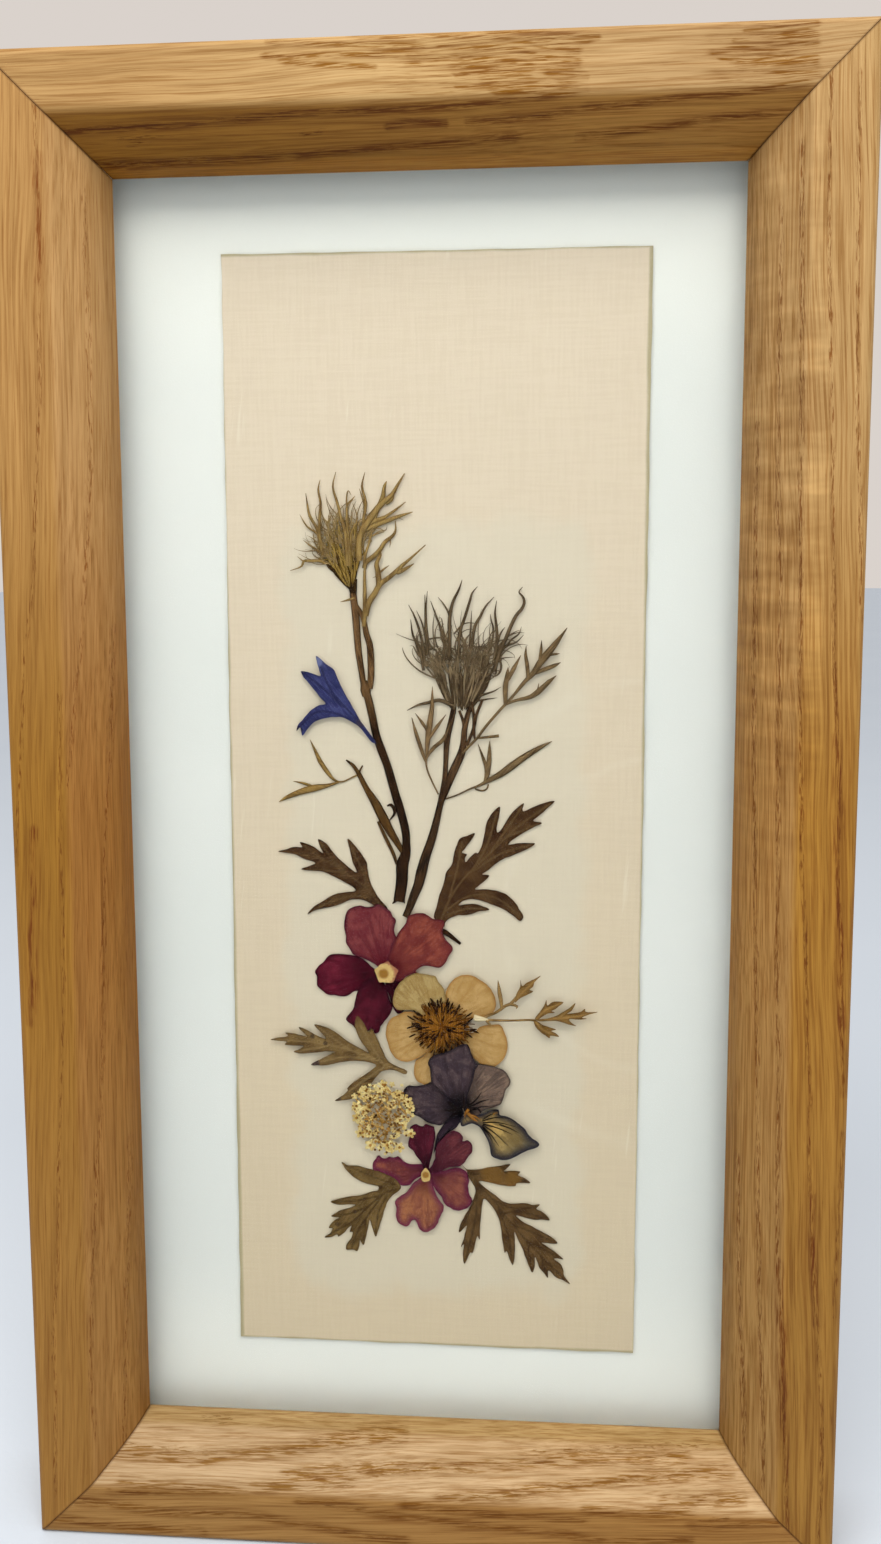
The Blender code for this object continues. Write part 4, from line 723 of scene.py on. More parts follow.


# ---------------------------------------------------------------------------------------------------------
# The right head: a darker umbel in bud, more open, its grey-brown rays fanned like spokes over a darker fan
# of strands that paints the shade between them, and its top a tangle of curling threads with long bracts.
# Three finely cut leaves grow from its stalk.
def right_head():
    rng = Random(23)
    base = Vector((6.2, 158.2))  # below the stalk's top, where the fan's headings meet
    spoke = stalk_finish("grey_spokes", (124, 105, 78), (70, 54, 36), (146, 126, 95), outline=0.99)
    shadow = stalk_finish("grey_tops_and_shade", (76, 59, 40), (56, 42, 27), (96, 78, 54))
    grey = stalk_finish("grey_threads", (106, 87, 62), (74, 58, 39), (130, 110, 82), 0.2)
    dusk = stalk_finish("grey_bracts", (92, 74, 52), (64, 49, 32), (112, 93, 68), 0.2)
    # The stalk tops and, under the spokes, a dark fan of strands: painted shade in the gaps between the
    # spokes.
    rays = [([(4.4, 165), (4.9, 163.3), (4.9, 161.6)], (1.6, 1.3, 1.0)),
            ([(7.2, 165), (7.9, 163.4), (8.0, 162)], (1.4, 1.1, 0.9))]
    rays += fan(rng, base, (-0.46, 0.48), [(18, 4.8, 8.5, 1.15), (12, 9, 6, 0.7)])
    spokes = fan(rng, base, (-0.44, 0.45), [(9, 5.6, 6.5, 0.75), (12, 8.0, 6.5, 0.8), (10, 12, 5, 0.55)])
    spokes += curls(rng, base, (-0.48, 0.46), 34, (9, 14), (14.5, 20), 0.4, 2.0)
    fine = curls(rng, base, (-0.48, 0.5), 42, (9, 14), (15, 19), 0.34, 2.6)
    fine += curls(rng, base, (-0.45, 0.48), 34, (13, 17), (18, 23), 0.36, 2.6)
    bracts = [taper(points, width) for points, width in [
        ([(-0.8, 170), (-1.5, 174), (-2.8, 176.8), (-3.2, 179.8)], 0.7),
        ([(-0.6, 172), (-1, 175.5), (-2.3, 180), (-3.6, 182.6)], 0.65),
        ([(0, 173), (-0.5, 177), (-1.2, 179.5), (-2.1, 181.5)], 0.5),
        ([(0, 173), (-0.3, 177), (-0.4, 180), (-0.5, 184.5)], 0.7),
        ([(0.4, 174), (-0.2, 178), (-0.3, 181.5), (0, 185.2)], 0.6),
        ([(3.2, 172), (3, 176.5), (1.8, 180), (0.6, 183.3)], 0.65),
        ([(4.2, 172), (4.2, 177), (4.2, 180), (4.8, 183), (6, 185.5), (6.6, 187.3)], 0.75),
        ([(4.2, 176), (4.3, 179), (4, 181), (3, 182.8), (2, 184)], 0.5),
        ([(5.8, 173), (6.2, 177.5), (7.2, 180.5), (8.1, 183.5), (8.5, 184.8), (9.5, 186)], 0.7),
        ([(8.4, 174), (9, 178.5), (10, 180.3), (11, 182.2), (12.6, 184)], 0.7),
        ([(12.6, 172), (13.2, 176.5), (13, 179), (12.8, 181), (13.1, 183.3)], 0.7),
        ([(12, 174), (12.5, 178), (12.1, 179.5), (11.9, 180.8)], 0.45),
        ([(13, 173.5), (13.5, 176.2), (14.1, 177.5), (14.7, 178.3)], 0.5),
        ([(12.8, 170), (13.5, 173), (14.8, 176), (15.8, 178.5), (16.8, 180.5), (18, 182), (18.3, 183.2),
          (17.9, 184.2), (17.3, 184.9), (18, 185.9)], 0.85),
        ([(13, 171.5), (13.8, 173.2), (15, 174.8), (16.8, 175.4), (18.2, 176.8)], 0.6),
        ([(15, 174.8), (16, 176), (17.3, 177), (17.8, 178.4)], 0.45),
        ([(12.8, 171.3), (14, 172.3), (16.6, 172.6)], 0.4),
        ([(13.2, 173), (14, 171), (13.6, 169.5), (12.6, 168.9), (12, 169.2)], 0.5),
        ([(8, 174), (8.2, 178), (8.4, 181.5)], 0.5),
        ([(5, 177), (7, 179), (9.5, 179)], 0.4),
        ([(0, 176), (2.5, 176.3), (4, 175.5)], 0.4),
        ([(9.8, 165), (11, 165.5), (12.5, 166), (14, 166.9)], 0.5),
        ([(9.6, 164.2), (11.2, 164.5), (13.3, 164.8)], 0.45),
        ([(5, 163.3), (4.3, 163.5), (2.2, 164.3), (0, 163.8), (-2, 163.3), (-4, 162.3)], 0.95)]]
    strands("bud_rays_right", rays, "right_bud", shadow, "dark_bud", flat=0.14, sink=0.95)
    strands("bud_spokes_right", spokes, "right_bud", spoke, "dark_bud", flat=0.2, sink=0.5)
    strands("bud_threads_right", fine, "right_bud", grey, "dark_bud", flat=0.35, sink=0.45)
    strands("bracts_right", bracts, "right_bud", dusk, "dark_bud", flat=0.14, sink=0.2)


def right_leaves():
    green = stalk_finish("green_brown_lobes", (122, 96, 64), (86, 65, 41), (138, 111, 76), -0.3)
    olive = stalk_finish("olive_lobes", (116, 93, 62), (80, 62, 39), (136, 109, 75), 0.7)
    small = [
        ([(2, 146), (0.2, 149.8), (-0.3, 151.5), (-0.4, 153)], (0.35, 0.4, 0.4, 0.5)),
        ([(-0.3, 152.5), (-0.1, 156), (0.3, 159.5), (0.8, 163), (0.9, 167)], (0.4, 1.1, 1.4, 1.0, 0.12)),
        ([(-0.4, 152.3), (-0.6, 152.8), (-1.5, 155.5), (-2.3, 158), (-3.1, 161)],
         (0.3, 0.6, 0.9, 0.8, 0.12)),
        ([(-0.2, 157.8), (-0.2, 158.5), (-1.1, 160), (-2.4, 161.8)], (0.3, 0.6, 0.7, 0.12)),
        ([(-0.3, 152.8), (-0.1, 153.5), (1.3, 155.3), (3, 156.8), (4.3, 160)], (0.3, 0.6, 0.9, 0.9, 0.12)),
        ([(0.1, 156.5), (0.3, 157), (1.8, 159.3), (3.5, 161.6)], (0.3, 0.6, 0.8, 0.12))]
    feathery = [
        ([(6.6, 154), (8, 155.6), (9.3, 156.9), (11, 159.2), (13, 161.6), (14.8, 163.6)],
         (0.5, 0.6, 0.6, 0.6, 0.6, 0.6)),
        ([(14.7, 163.2), (14.8, 164), (14.8, 167), (15.2, 169.5), (15.3, 170.7)],
         (0.5, 0.9, 1.2, 0.9, 0.12)),
        ([(15.1, 167.8), (15.4, 168.5), (16.4, 170.5), (17.7, 173)], (0.3, 0.8, 1.0, 0.12)),
        ([(14.6, 163.4), (14.9, 163.7), (16.5, 165.5), (18.5, 168), (20, 169.5), (21.3, 171.5), (22.5, 173),
          (24.3, 175.3), (26.4, 178.2)], (0.5, 0.6, 0.6, 0.9, 1.2, 1.5, 1.7, 1.2, 0.12)),
        ([(18.6, 168), (19, 168.5), (18.9, 171), (18.6, 173), (18.7, 174.8)], (0.4, 0.8, 0.9, 0.7, 0.12)),
        ([(21.1, 171.4), (21.3, 172.3), (21.5, 174), (21.6, 175.8)], (0.4, 0.7, 0.7, 0.12)),
        ([(20.2, 169.5), (20.5, 169.6), (22.5, 170.4), (24, 171), (25.2, 171.6)],
         (0.4, 0.8, 1.0, 0.9, 0.12)),
        ([(22.5, 172.8), (23, 173), (24.3, 173.2), (25, 173.3)], (0.4, 0.6, 0.5, 0.12)),
        ([(14.6, 163.3), (14.9, 163.6), (17, 164.4), (19.5, 165), (21, 166), (23, 167.9), (24.4, 169.1)],
         (0.5, 0.6, 0.7, 1.0, 1.3, 1.0, 0.12)),
        ([(20.4, 165.6), (20.8, 166), (21.1, 167.6)], (0.5, 0.6, 0.12)),
        ([(8.9, 156.9), (9.2, 157), (11, 157.2), (13.6, 157.5)], (0.3, 0.4, 0.6, 0.7))]
    low = [
        ([(3.3, 145), (5.5, 145.8), (8, 147), (10, 147.8), (12, 148.9), (14, 150), (16, 151.5), (18, 153),
          (20.3, 154.5), (22, 155.5), (23.7, 156.4)],
         (0.35, 0.35, 0.4, 0.6, 1.1, 1.5, 1.7, 1.5, 1.2, 0.8, 0.12)),
        ([(10.6, 148), (11, 148.8), (11.2, 151), (10.6, 153), (9.6, 155.8)], (0.3, 0.7, 0.9, 0.7, 0.12)),
        ([(11.3, 149), (11.5, 150), (11.7, 152.5), (11.8, 154.5), (11.8, 156.4)],
         (0.4, 0.9, 1.1, 0.8, 0.12)),
        ([(9, 147.3), (9.2, 147), (10.5, 146.7), (11.3, 147.1), (11.6, 148)], (0.3, 0.4, 0.4, 0.4, 0.3))]
    strands("small_cut_leaf", small, "right_small_leaf", green, "olive_leaf", flat=0.09)
    strands("feathery_leaf", feathery, "right_feathery_leaf", olive, "olive_leaf", flat=0.08)
    strands("low_cut_leaf", low, "right_low_leaf", olive, "olive_leaf", flat=0.08)


right_head()
right_leaves()


# ---------------------------------------------------------------------------------------------------------
# The red flower: five crinkled petals that overlap round a pale eye. Dried magenta, browner where it faded,
# with veins that run out from the eye and a thin purple rim.
def petal_finish(name, centre, heart, blade, blotch, rim, vein,
                 mottle=0.75, spread=9.0, rim_width=0.8, rim_share=0.8, core=6.0):
    """A pressed petal: streaks run out from the flower's heart, and its rim has a colour of its own."""
    petal = Finish(name, Roughness=0.75, Specular_IOR_Level=0.04)
    flat = petal.point(centre[0], 0, centre[1], size=(1, 1000, 1))
    reach = petal.vector("LENGTH", flat, output="Value")
    heading = petal.vector("NORMALIZE", flat)
    ray = petal.vector("MULTIPLY_ADD", heading, (spread,) * 3, petal.join(0, reach * 0.14, 0))
    streak = petal.noise(ray, 1, 4, 0.65)
    cloud = petal.noise(petal.point(), 2.4, 3)
    crinkle = petal.noise(petal.point(), 0.55, 3)
    colour = petal.blend((reach + cloud * 2 - 1).part(core * 0.3, core), heart, blade)
    colour = petal.blend(cloud.part(0.38, 0.64) * mottle, colour, blotch)
    colour = petal.blend(streak.part(0.46, 0.62) * 0.65, colour, vein)
    colour = petal.blend(crinkle.part(0.5, 0.7) * 0.45, colour, vein)
    edge = petal.attribute("rim") + cloud * 0.5
    colour = petal.blend(edge.part(rim_width + 0.25, 0.2) * rim_share, colour, rim)
    return petal.paint(colour, relief=streak * 0.7 + crinkle * 0.6, depth=0.16)


def petals_of(flower, centre, petals, slot, **sheet):
    """A flower's petals where its CAD petals lie, each by its name, its colours and its outline."""
    for number, (name, colours, outline) in enumerate(petals, 1):
        skin = petal_finish(name, centre, **colours)
        pressed_sheet(name, outline, f"{flower}_petal_{number}", skin, slot, **sheet)


def eye_finish(name, x, z, size):
    """A flower's eye: pale, with a brown middle and a brown rim."""
    eye = Finish(name, Roughness=0.7, Specular_IOR_Level=0.04)
    gap = eye.vector("LENGTH", eye.point(x, 0, z, (size, 1000, size)), output="Value")
    grain = eye.noise(eye.point(), 0.5, 3)
    colour = eye.blend(grain, (214, 186, 122), (178, 142, 82))
    colour = eye.blend((gap + grain * 0.5).part(1.05, 1.35), colour, (158, 100, 72))
    colour = eye.blend((gap + grain * 0.3).part(0.74, 0.45), colour, (146, 102, 42))
    return eye.paint(colour, relief=grain, depth=0.15)


def red_flower():
    centre = (-8.6, 110.4)
    purple, plum = (62, 14, 32), (42, 3, 18)
    petals = [
        ("red_petal_upper", dict(
            heart=(86, 20, 28), blade=(122, 58, 57), blotch=(98, 34, 42), rim=purple,
            vein=(86, 24, 34), core=7.0), (
            (-10.8, 112), (-12.5, 112.9), (-14.9, 113.8), (-15.6, 115), (-16.3, 116.2), (-16.3, 117.5),
            (-16.6, 119), (-16.5, 121), (-15.9, 122.7), (-14.8, 123.4), (-13.5, 123.7), (-12, 123.4),
            (-11, 123.6), (-10.2, 124), (-9.3, 123.8), (-8.2, 123.1), (-7.5, 122.6), (-7.1, 121.7),
            (-6.4, 120.8), (-6.7, 119.7), (-6.8, 118.7), (-6.5, 117.7), (-6.2, 116.9), (-6.9, 116),
            (-7.6, 113.2), (-8.6, 110.6))),
        ("red_petal_right", dict(
            heart=(76, 16, 22), blade=(136, 68, 53), blotch=(100, 36, 38), rim=(70, 18, 31),
            vein=(96, 36, 34), core=7.0), (
            (-6.2, 118), (-5.4, 119.2), (-4.5, 120.4), (-4, 121.8), (-2.8, 122.3), (-1, 122.4), (0, 121.9),
            (0.8, 121.4), (2, 121.2), (3, 120.9), (2.9, 119.8), (2.7, 118.8), (3.4, 117.2), (4.7, 115.5),
            (3.9, 113.8), (3, 112.2), (1.9, 111.5), (0.3, 111.8), (-1, 111.8), (-2.2, 111.2), (-2.6, 110.6),
            (-1.8, 110.2), (-3, 110.3), (-4.5, 109.6), (-5.7, 108.5), (-8, 109.6), (-8.4, 112))),
        ("red_petal_left", dict(
            heart=(34, 1, 7), blade=(106, 30, 46), blotch=(72, 9, 26), rim=plum,
            vein=(64, 6, 22), core=11.0), (
            (-10.9, 111), (-13, 112.8), (-14.9, 113.5), (-16.5, 113.7), (-19, 113.7), (-20, 113.2),
            (-20.9, 112), (-21.9, 111.2), (-22.6, 110), (-22.2, 109), (-22.2, 107.3), (-21.5, 106.5),
            (-20, 105.4), (-18.5, 105.3), (-16.8, 105.1), (-15.8, 105.5), (-14.8, 106.2), (-14, 106.3),
            (-11, 108.8), (-8.8, 110))),
        ("red_petal_lower_left", dict(
            heart=(44, 3, 10), blade=(86, 21, 36), blotch=(52, 6, 18), rim=plum,
            vein=(46, 5, 16), core=7.0), (
            (-11.5, 108.7), (-13.5, 106.9), (-14.2, 106.1), (-14.6, 104.5), (-15, 102.8), (-15.8, 101.7),
            (-16.5, 100.6), (-16, 99.9), (-15, 99.2), (-14.6, 98.7), (-13.3, 98.6), (-12, 98.2),
            (-11.6, 98.8), (-11.1, 98.4), (-10.7, 97.7), (-10, 98), (-9.6, 99.2), (-8.8, 100.3),
            (-7.8, 101.7), (-7.2, 103.3), (-7.7, 104.5), (-8.1, 106), (-8.6, 107.6), (-9.2, 108.6),
            (-9.4, 110.2))),
        ("red_petal_hidden", dict(
            heart=(38, 3, 12), blade=(76, 16, 30), blotch=(56, 8, 20), rim=plum,
            vein=(46, 5, 16), core=7.0), (
            (-8, 109.6), (-5.7, 108.5), (-4.6, 107), (-4.2, 104.6), (-4.8, 102.6), (-6.2, 101.8),
            (-7.2, 103.2), (-7.9, 105.5), (-8.6, 107.6)))]
    petals_of("red_flower", centre, petals, "red_petal", cockle=0.07, fine=0.35)
    star = [(centre[0] + 0.25 + (2.4 - 0.4 * (step % 2)) * cos(step * pi / 5 + 0.3),
             centre[1] + (2.3 - 0.4 * (step % 2)) * sin(step * pi / 5 + 0.3)) for step in range(10)]
    pressed_sheet("red_flower_star", star, "red_flower_eye", eye_finish("pale_star", -8.9, 110.2, 2.2),
                  "pale_eye", ragged=0.3, fine=0.25)


red_flower()


# ---------------------------------------------------------------------------------------------------------
# The cream flower: five thin buff petals, one of them greyer, with a flattened tuft of golden stamens whose
# dark anthers ring its edge.
def cream_flower():
    centre = (2.2, 99.5)
    buff = dict(heart=(136, 90, 34), blade=(184, 148, 94), blotch=(162, 124, 68),
                rim=(150, 106, 52), vein=(160, 120, 66), mottle=0.6, spread=11.0, rim_width=0.9)
    grey = dict(heart=(124, 88, 38), blade=(172, 146, 94), blotch=(146, 116, 66),
                rim=(124, 98, 54), vein=(136, 106, 58), mottle=0.6, spread=11.0, rim_width=0.7)
    petals = [
        ("cream_petal_grey", grey, (
            (-2.9, 102.8), (-5, 102.9), (-6.3, 103), (-7, 104), (-7, 105.5), (-6.6, 107), (-5.7, 108.4),
            (-4.5, 109.5), (-3, 110.3), (-1, 110.3), (0.2, 110.1), (1.3, 109.8), (1.9, 108.7), (2.7, 107.8),
            (3.1, 107), (3.2, 103), (1.6, 100.5), (-0.8, 101))),
        ("cream_petal_left", buff, (
            (-4.5, 102.5), (-6, 101.8), (-7.5, 101), (-8.3, 99.6), (-8.6, 97.7), (-8.2, 96), (-7.5, 94),
            (-6.4, 92.7), (-5, 92.2), (-3.5, 92.4), (-2.2, 93), (-1, 93.8), (1, 96.5), (1.6, 99.5),
            (-0.5, 101.6))),
        ("cream_petal_low", buff, (
            (-1.2, 93.2), (-2.5, 92.6), (-3, 91.2), (-3, 89.5), (-2.5, 88.2), (-1.5, 87.6), (0.4, 86.9),
            (3, 86.8), (5.4, 88.2), (6.2, 90.6), (5.6, 93.6), (3.8, 96.6), (2.2, 98.6), (0.4, 96.2))),
        ("cream_petal_right", buff, (
            (4, 98), (6.6, 98), (9, 98.5), (9.9, 99.5), (12, 100), (14, 100), (14.8, 98.5), (15.4, 96.5),
            (15.3, 94.8), (14.6, 93), (13.3, 91.8), (12, 91.2), (10, 92), (9, 93), (7, 94.6), (4.6, 96.2))),
        ("cream_petal_upper", buff, (
            (3, 101), (3.1, 104.4), (3.6, 107.5), (5, 109.3), (6.5, 110.1), (8.5, 110), (10, 109.2),
            (11.8, 107.8), (12.9, 105.8), (13.1, 104), (12.5, 102.6), (11, 101.8), (9.2, 101.6),
            (6, 100.6)))]
    petals_of("cream_flower", centre, petals, "cream_petal", fine=0.35)


def stamens():
    rng = Random(5)
    centre, wide, tall = Vector((2.6, 99.6)), 1.08, 0.98

    def stroke(inner, outer, sway, width):
        angle = rng.uniform(0, 2 * pi)
        ends = []
        for reach, turn in ((inner, 0), ((inner + outer) / 2, sway / 2), (outer, sway)):
            ends.append(centre + reach * Vector((wide * cos(angle + turn), tall * sin(angle + turn))))
        return ends, width

    gold = stalk_finish("golden_threads", (134, 84, 20), (70, 36, 5), (166, 114, 42))
    brown = stalk_finish("brown_threads", (96, 54, 9), (52, 24, 2), (128, 80, 23))
    black = stalk_finish("dark_anthers", (46, 22, 5), (20, 7, 1), (70, 40, 15))
    threads_of_gold = [
        stroke(rng.uniform(0, 3.0), rng.uniform(3.6, 6.0), rng.uniform(-0.25, 0.25), (0.2, 0.3, 0.3, 0.2))
        for _ in range(190)]
    threads_of_brown = [
        stroke(rng.uniform(0, 3.4), rng.uniform(2.5, 5.6), rng.uniform(-0.3, 0.3), (0.2, 0.34, 0.3, 0.2))
        for _ in range(150)]
    threads_of_brown += [stroke(0, rng.uniform(0.6, 1.8), rng.uniform(-1, 1),
                                (0.5, 0.5, 0.4, 0.3)) for _ in range(24)]
    anthers = []
    for _ in range(96):
        inner = rng.uniform(3.0, 5.2) if rng.random() < 0.7 else rng.uniform(0.6, 3.4)
        anthers.append(stroke(inner, inner + rng.uniform(0.7, 1.9), rng.uniform(-0.1, 0.1),
                              (0.2, 0.34, 0.4, 0.2)))
    anthers += [([(-3.4, 100.5), (-3.0, 100.0), (-2.6, 100.3)], (0.3, 0.35, 0.2)),
                ([(0.3, 105.5), (0.8, 104.8), (1.3, 104.2)], (0.3, 0.5, 0.3)),
                ([(3.8, 105.6), (3.6, 104.6), (3.4, 103.8)], (0.3, 0.5, 0.3)),
                ([(7.9, 101), (7.3, 100.4), (6.8, 99.8)], (0.3, 0.5, 0.3))]
    strands("golden_stamens", threads_of_gold, "cream_flower_stamens", gold, "brown_stamens", flat=0.2,
            sink=0.6)
    strands("brown_stamens", threads_of_brown, "cream_flower_stamens", brown, "brown_stamens", flat=0.2,
            sink=0.8)
    strands("anthers", anthers, "cream_flower_stamens", black, "brown_stamens", flat=0.2, sink=0.1)


cream_flower()
stamens()


# ---------------------------------------------------------------------------------------------------------
# The tan fern-like leaf that leaves the cream flower to the right: a thin stalk with a paler torn root, one
# raised branch with cut lobes, and a toothed end.
def fern_leaf():
    tan = leaf_finish("tan_fern_leaf", (132, 96, 46), (94, 64, 25), (152, 118, 66), (160, 128, 80), 1.3)
    stalk = stalk_finish("tan_fern_stalk", (142, 110, 62), (98, 70, 34), (166, 134, 84), 1.4)
    pale = stalk_finish("torn_root", (214, 196, 156), (168, 144, 100), (226, 212, 178), 1.4)
    blades = [
        ("fern_upper_blade", (
            (16.9, 105.9), (17.1, 106.8), (17.8, 108.1), (17.9, 109.6), (18.2, 108.3), (19.1, 109),
            (20.4, 109.7), (21.8, 110.5), (20.6, 109.2), (20.3, 108.3), (19.7, 107.6), (20.3, 107.3),
            (19.4, 106.7), (18.2, 106.1), (17.5, 105.6), (16.8, 105)),
         [[(16.8, 105.3), (18.4, 107.2), (21.4, 110.2)], [(17.3, 106), (17.8, 109.2)]]),
        ("fern_top_lobe", (
            (20.7, 101.8), (21.6, 103.1), (22.5, 104.5), (22.9, 105.6), (23.1, 104.5), (23.9, 105.1),
            (24.5, 105.3), (26.2, 105.2), (25.3, 104.4), (24.6, 103.8), (23.9, 103.4), (24.5, 103.1),
            (23.2, 102.9), (22.1, 102.2), (21, 101.5)),
         [[(20.9, 101.7), (22.8, 103.6), (25.8, 105.1)]]),
        ("fern_end_blade", (
            (20.8, 101.6), (22.5, 101.8), (23.9, 102.1), (25.3, 102.7), (26.2, 103.3), (27.3, 104),
            (28.5, 105.1), (27.8, 103.6), (26.9, 102.9), (28.5, 103.1), (29.6, 103.4), (30.4, 104),
            (30.5, 103.4), (32.8, 103.4), (31.2, 102.9), (29.8, 102.2), (30.7, 102), (29.1, 101.8),
            (27.3, 101.8), (27.8, 101.1), (28.7, 100.5), (27.3, 100.75), (26.2, 101.1), (25, 101.4),
            (23.5, 101.4), (21.6, 101.3)),
         [[(20.8, 101.5), (25, 101.9), (29, 102.5), (32.4, 103.3)], [(25.2, 102), (28.2, 104.6)]]),
        ("fern_low_lobe", (
            (20.5, 101.4), (20.7, 100.4), (21.4, 99.5), (22.5, 98.6), (23.6, 97.9), (23.7, 98.4),
            (25.4, 98.25), (24.6, 99), (23.9, 99.4), (24.8, 99.7), (23.5, 100.1), (22.1, 100.6),
            (21.2, 101.3)),
         [[(20.8, 101.2), (22.4, 99.5), (25, 98.4)]])]
    for name, outline, veins in blades:
        pressed_sheet(name, outline, "fern_leaf", tan, "tan_fern", veins, fine=0.25, ragged=0.05)
    stalks = [
        ([(9.5, 101.5), (11.9, 101.3), (16, 101.3), (19.8, 101.5), (20.9, 101.4)],
         (0.6, 0.6, 0.5, 0.5, 0.6)),
        ([(11, 101.5), (11.6, 100.8), (12.2, 100.2)], (0.5, 0.6, 0.4)),
        ([(10.5, 101.4), (11.4, 102.1), (12.8, 102.7), (14.1, 103.6), (15, 104.3), (15.8, 104.6),
          (16.6, 105.4), (17.1, 106.1)], (0.5, 0.6, 0.6, 0.7, 0.7, 0.7, 0.7, 0.6)),
        ([(14, 103.3), (14.2, 103.7), (14.1, 105.2), (13.9, 106.3), (13.7, 107.7), (13.5, 109.4)],
         (0.4, 0.7, 0.9, 1.0, 0.8, 0.12)),
        ([(15.4, 104.6), (15.8, 104.6), (17.2, 104.2), (17.1, 103.7)], (0.4, 0.7, 0.6, 0.15))]
    root = [([(8.8, 101.9), (10, 101.6), (11.6, 101.4)], (1.3, 1.2, 0.5)),
            ([(8.9, 101.3), (10, 101.3), (11.2, 101.3)], (0.6, 0.8, 0.4))]
    strands("fern_stalk", stalks, "fern_leaf", stalk, "tan_fern", flat=0.09)
    strands("fern_torn_root", root, "fern_leaf", pale, "tan_fern", flat=0.08, sink=0.1)


fern_leaf()


# ---------------------------------------------------------------------------------------------------------
# The olive leaf on the left: palmately cut, with lighter veins and dark tips; its blunt petiole ends beside
# the viola.
def olive_leaf():
    outline = [
        (-4.4, 90.3), (-6, 91), (-7.8, 91.9), (-8.5, 92.7), (-9.3, 94.5), (-10.2, 96.6), (-11, 98.2),
        (-11.5, 98.9), (-12, 98.1), (-12.6, 99.3), (-13.5, 100.7), (-14.2, 101.3), (-14.7, 99.8),
        (-14.5, 98.5), (-13.8, 96.7), (-12.7, 95), (-12, 93.9), (-13.5, 94.6), (-16, 96), (-18, 97.5),
        (-20.2, 98.8), (-22.8, 99.4), (-22, 98.4), (-20.9, 97.2), (-20.4, 96.6), (-21.8, 96.9), (-24, 98.1),
        (-25.9, 98.8), (-25, 97.7), (-24.2, 96.9), (-26, 97.3), (-28.6, 97.6), (-28.1, 97.1), (-28.4, 96.8),
        (-30, 96.6), (-31.6, 96.1), (-30, 95.9), (-28.4, 95.7), (-28.8, 95.2), (-27, 95), (-25, 94.9),
        (-25.8, 94.3), (-27, 93.7), (-25.5, 93.4), (-23, 93.6), (-20.5, 93.9), (-18.8, 93.9), (-20, 93.2),
        (-21.8, 92.2), (-23.6, 91.1), (-22, 91), (-20.3, 91.1), (-18, 91.7), (-15, 92.1), (-12, 91.9),
        (-10.5, 91.3), (-12.5, 89.5), (-14.8, 87.9), (-16.4, 86.3), (-16.2, 86), (-17.3, 84.9),
        (-18.9, 83.7), (-17, 83.9), (-15, 84.4), (-13.5, 85.5), (-12, 87), (-10.8, 88.5), (-9.5, 90),
        (-8.7, 90.3), (-7, 90.4), (-4.6, 89.6)]
    veins = [
        [(-4.5, 90), (-8, 91.2), (-11, 92.7), (-16, 94.4), (-21, 95.5), (-26, 96), (-31, 96.2)],
        [(-9.2, 91.8), (-11.2, 95), (-13.6, 99.5)], [(-15.5, 94.3), (-19, 96.6), (-22.2, 99)],
        [(-20.5, 95.4), (-25.3, 98.4)], [(-20, 95), (-26.4, 93.9)],
        [(-11, 92.4), (-16.5, 92.9), (-23, 91.3)], [(-9, 91), (-12.4, 88.5), (-18.4, 84)]]
    olive = leaf_finish(
        "olive_brown_leaf", (124, 98, 57), (84, 61, 33), (136, 112, 72), (130, 104, 64), 1.2,
        spots=[(-22.6, 91.4, 0.9, (48, 34, 40)), (-20.6, 95.6, 0.5, (66, 48, 34)),
               (-23.2, 97, 0.5, (66, 48, 34)), (-18.2, 84.1, 0.7, (76, 58, 40))])
    pressed_sheet("olive_cut_leaf", outline, "olive_leaf", olive, "olive_leaf", veins)


olive_leaf()


# ---------------------------------------------------------------------------------------------------------
# The umbellet: a whole little flower head pressed face up, its tiny cream florets over golden-brown stalks.
# One floret and one dot are modelled, then copied into place with sizes and turns of their own.
BLOOM, DOT = 0.06, 0.05  # the thickness of a floret and of a dot
FLORET_PETALS = 5
PLACES, GOLDEN_ANGLE = 150, 2.39996  # where florets may stand, each turned so far from the last


def scatter(name, model, places, node, material, slot):
    """One piece of copies of a small flat model, each (x, z, radius, turn, depth in the node from 0 to 1)."""
    low, high = box_of(node)
    bpy.ops.object.select_all(action="DESELECT")
    for x, z, radius, turn, deep in places:
        copy = model.copy()
        copy.data = model.data.copy()
        bpy.context.scene.collection.objects.link(copy)
        copy.location = (x, low.y + deep * (high.y - low.y - BLOOM), z)
        copy.rotation_euler = (0, turn, 0)
        copy.scale = (radius, 1, radius)
        copy.select_set(True)
    bpy.context.view_layer.objects.active = copy
    bpy.data.objects.remove(model)
    bpy.ops.object.join()
    piece = bpy.context.object
    bpy.ops.object.transform_apply(location=True, rotation=True, scale=True)
    return settle(piece, name, material, slot, node)


def flat_bloom(corners, waist, thickness):
    """A disc in the plane of the card whose rim draws in between five petals."""
    bpy.ops.object.select_all(action="DESELECT")
    bpy.ops.mesh.primitive_circle_add(vertices=corners, fill_type="NGON")
    bloom = bpy.context.object
    for index, vertex in enumerate(bloom.data.vertices):
        angle = 2 * pi * index / corners
        radius = 1 - waist * (0.5 - 0.5 * cos(FLORET_PETALS * angle)) ** 2
        vertex.co = (radius * cos(angle), 0, radius * sin(angle))
    edit()
    bpy.ops.mesh.inset(thickness=0.18, depth=0)
    bpy.ops.mesh.select_all(action="SELECT")
    thicken(thickness)
    return bloom


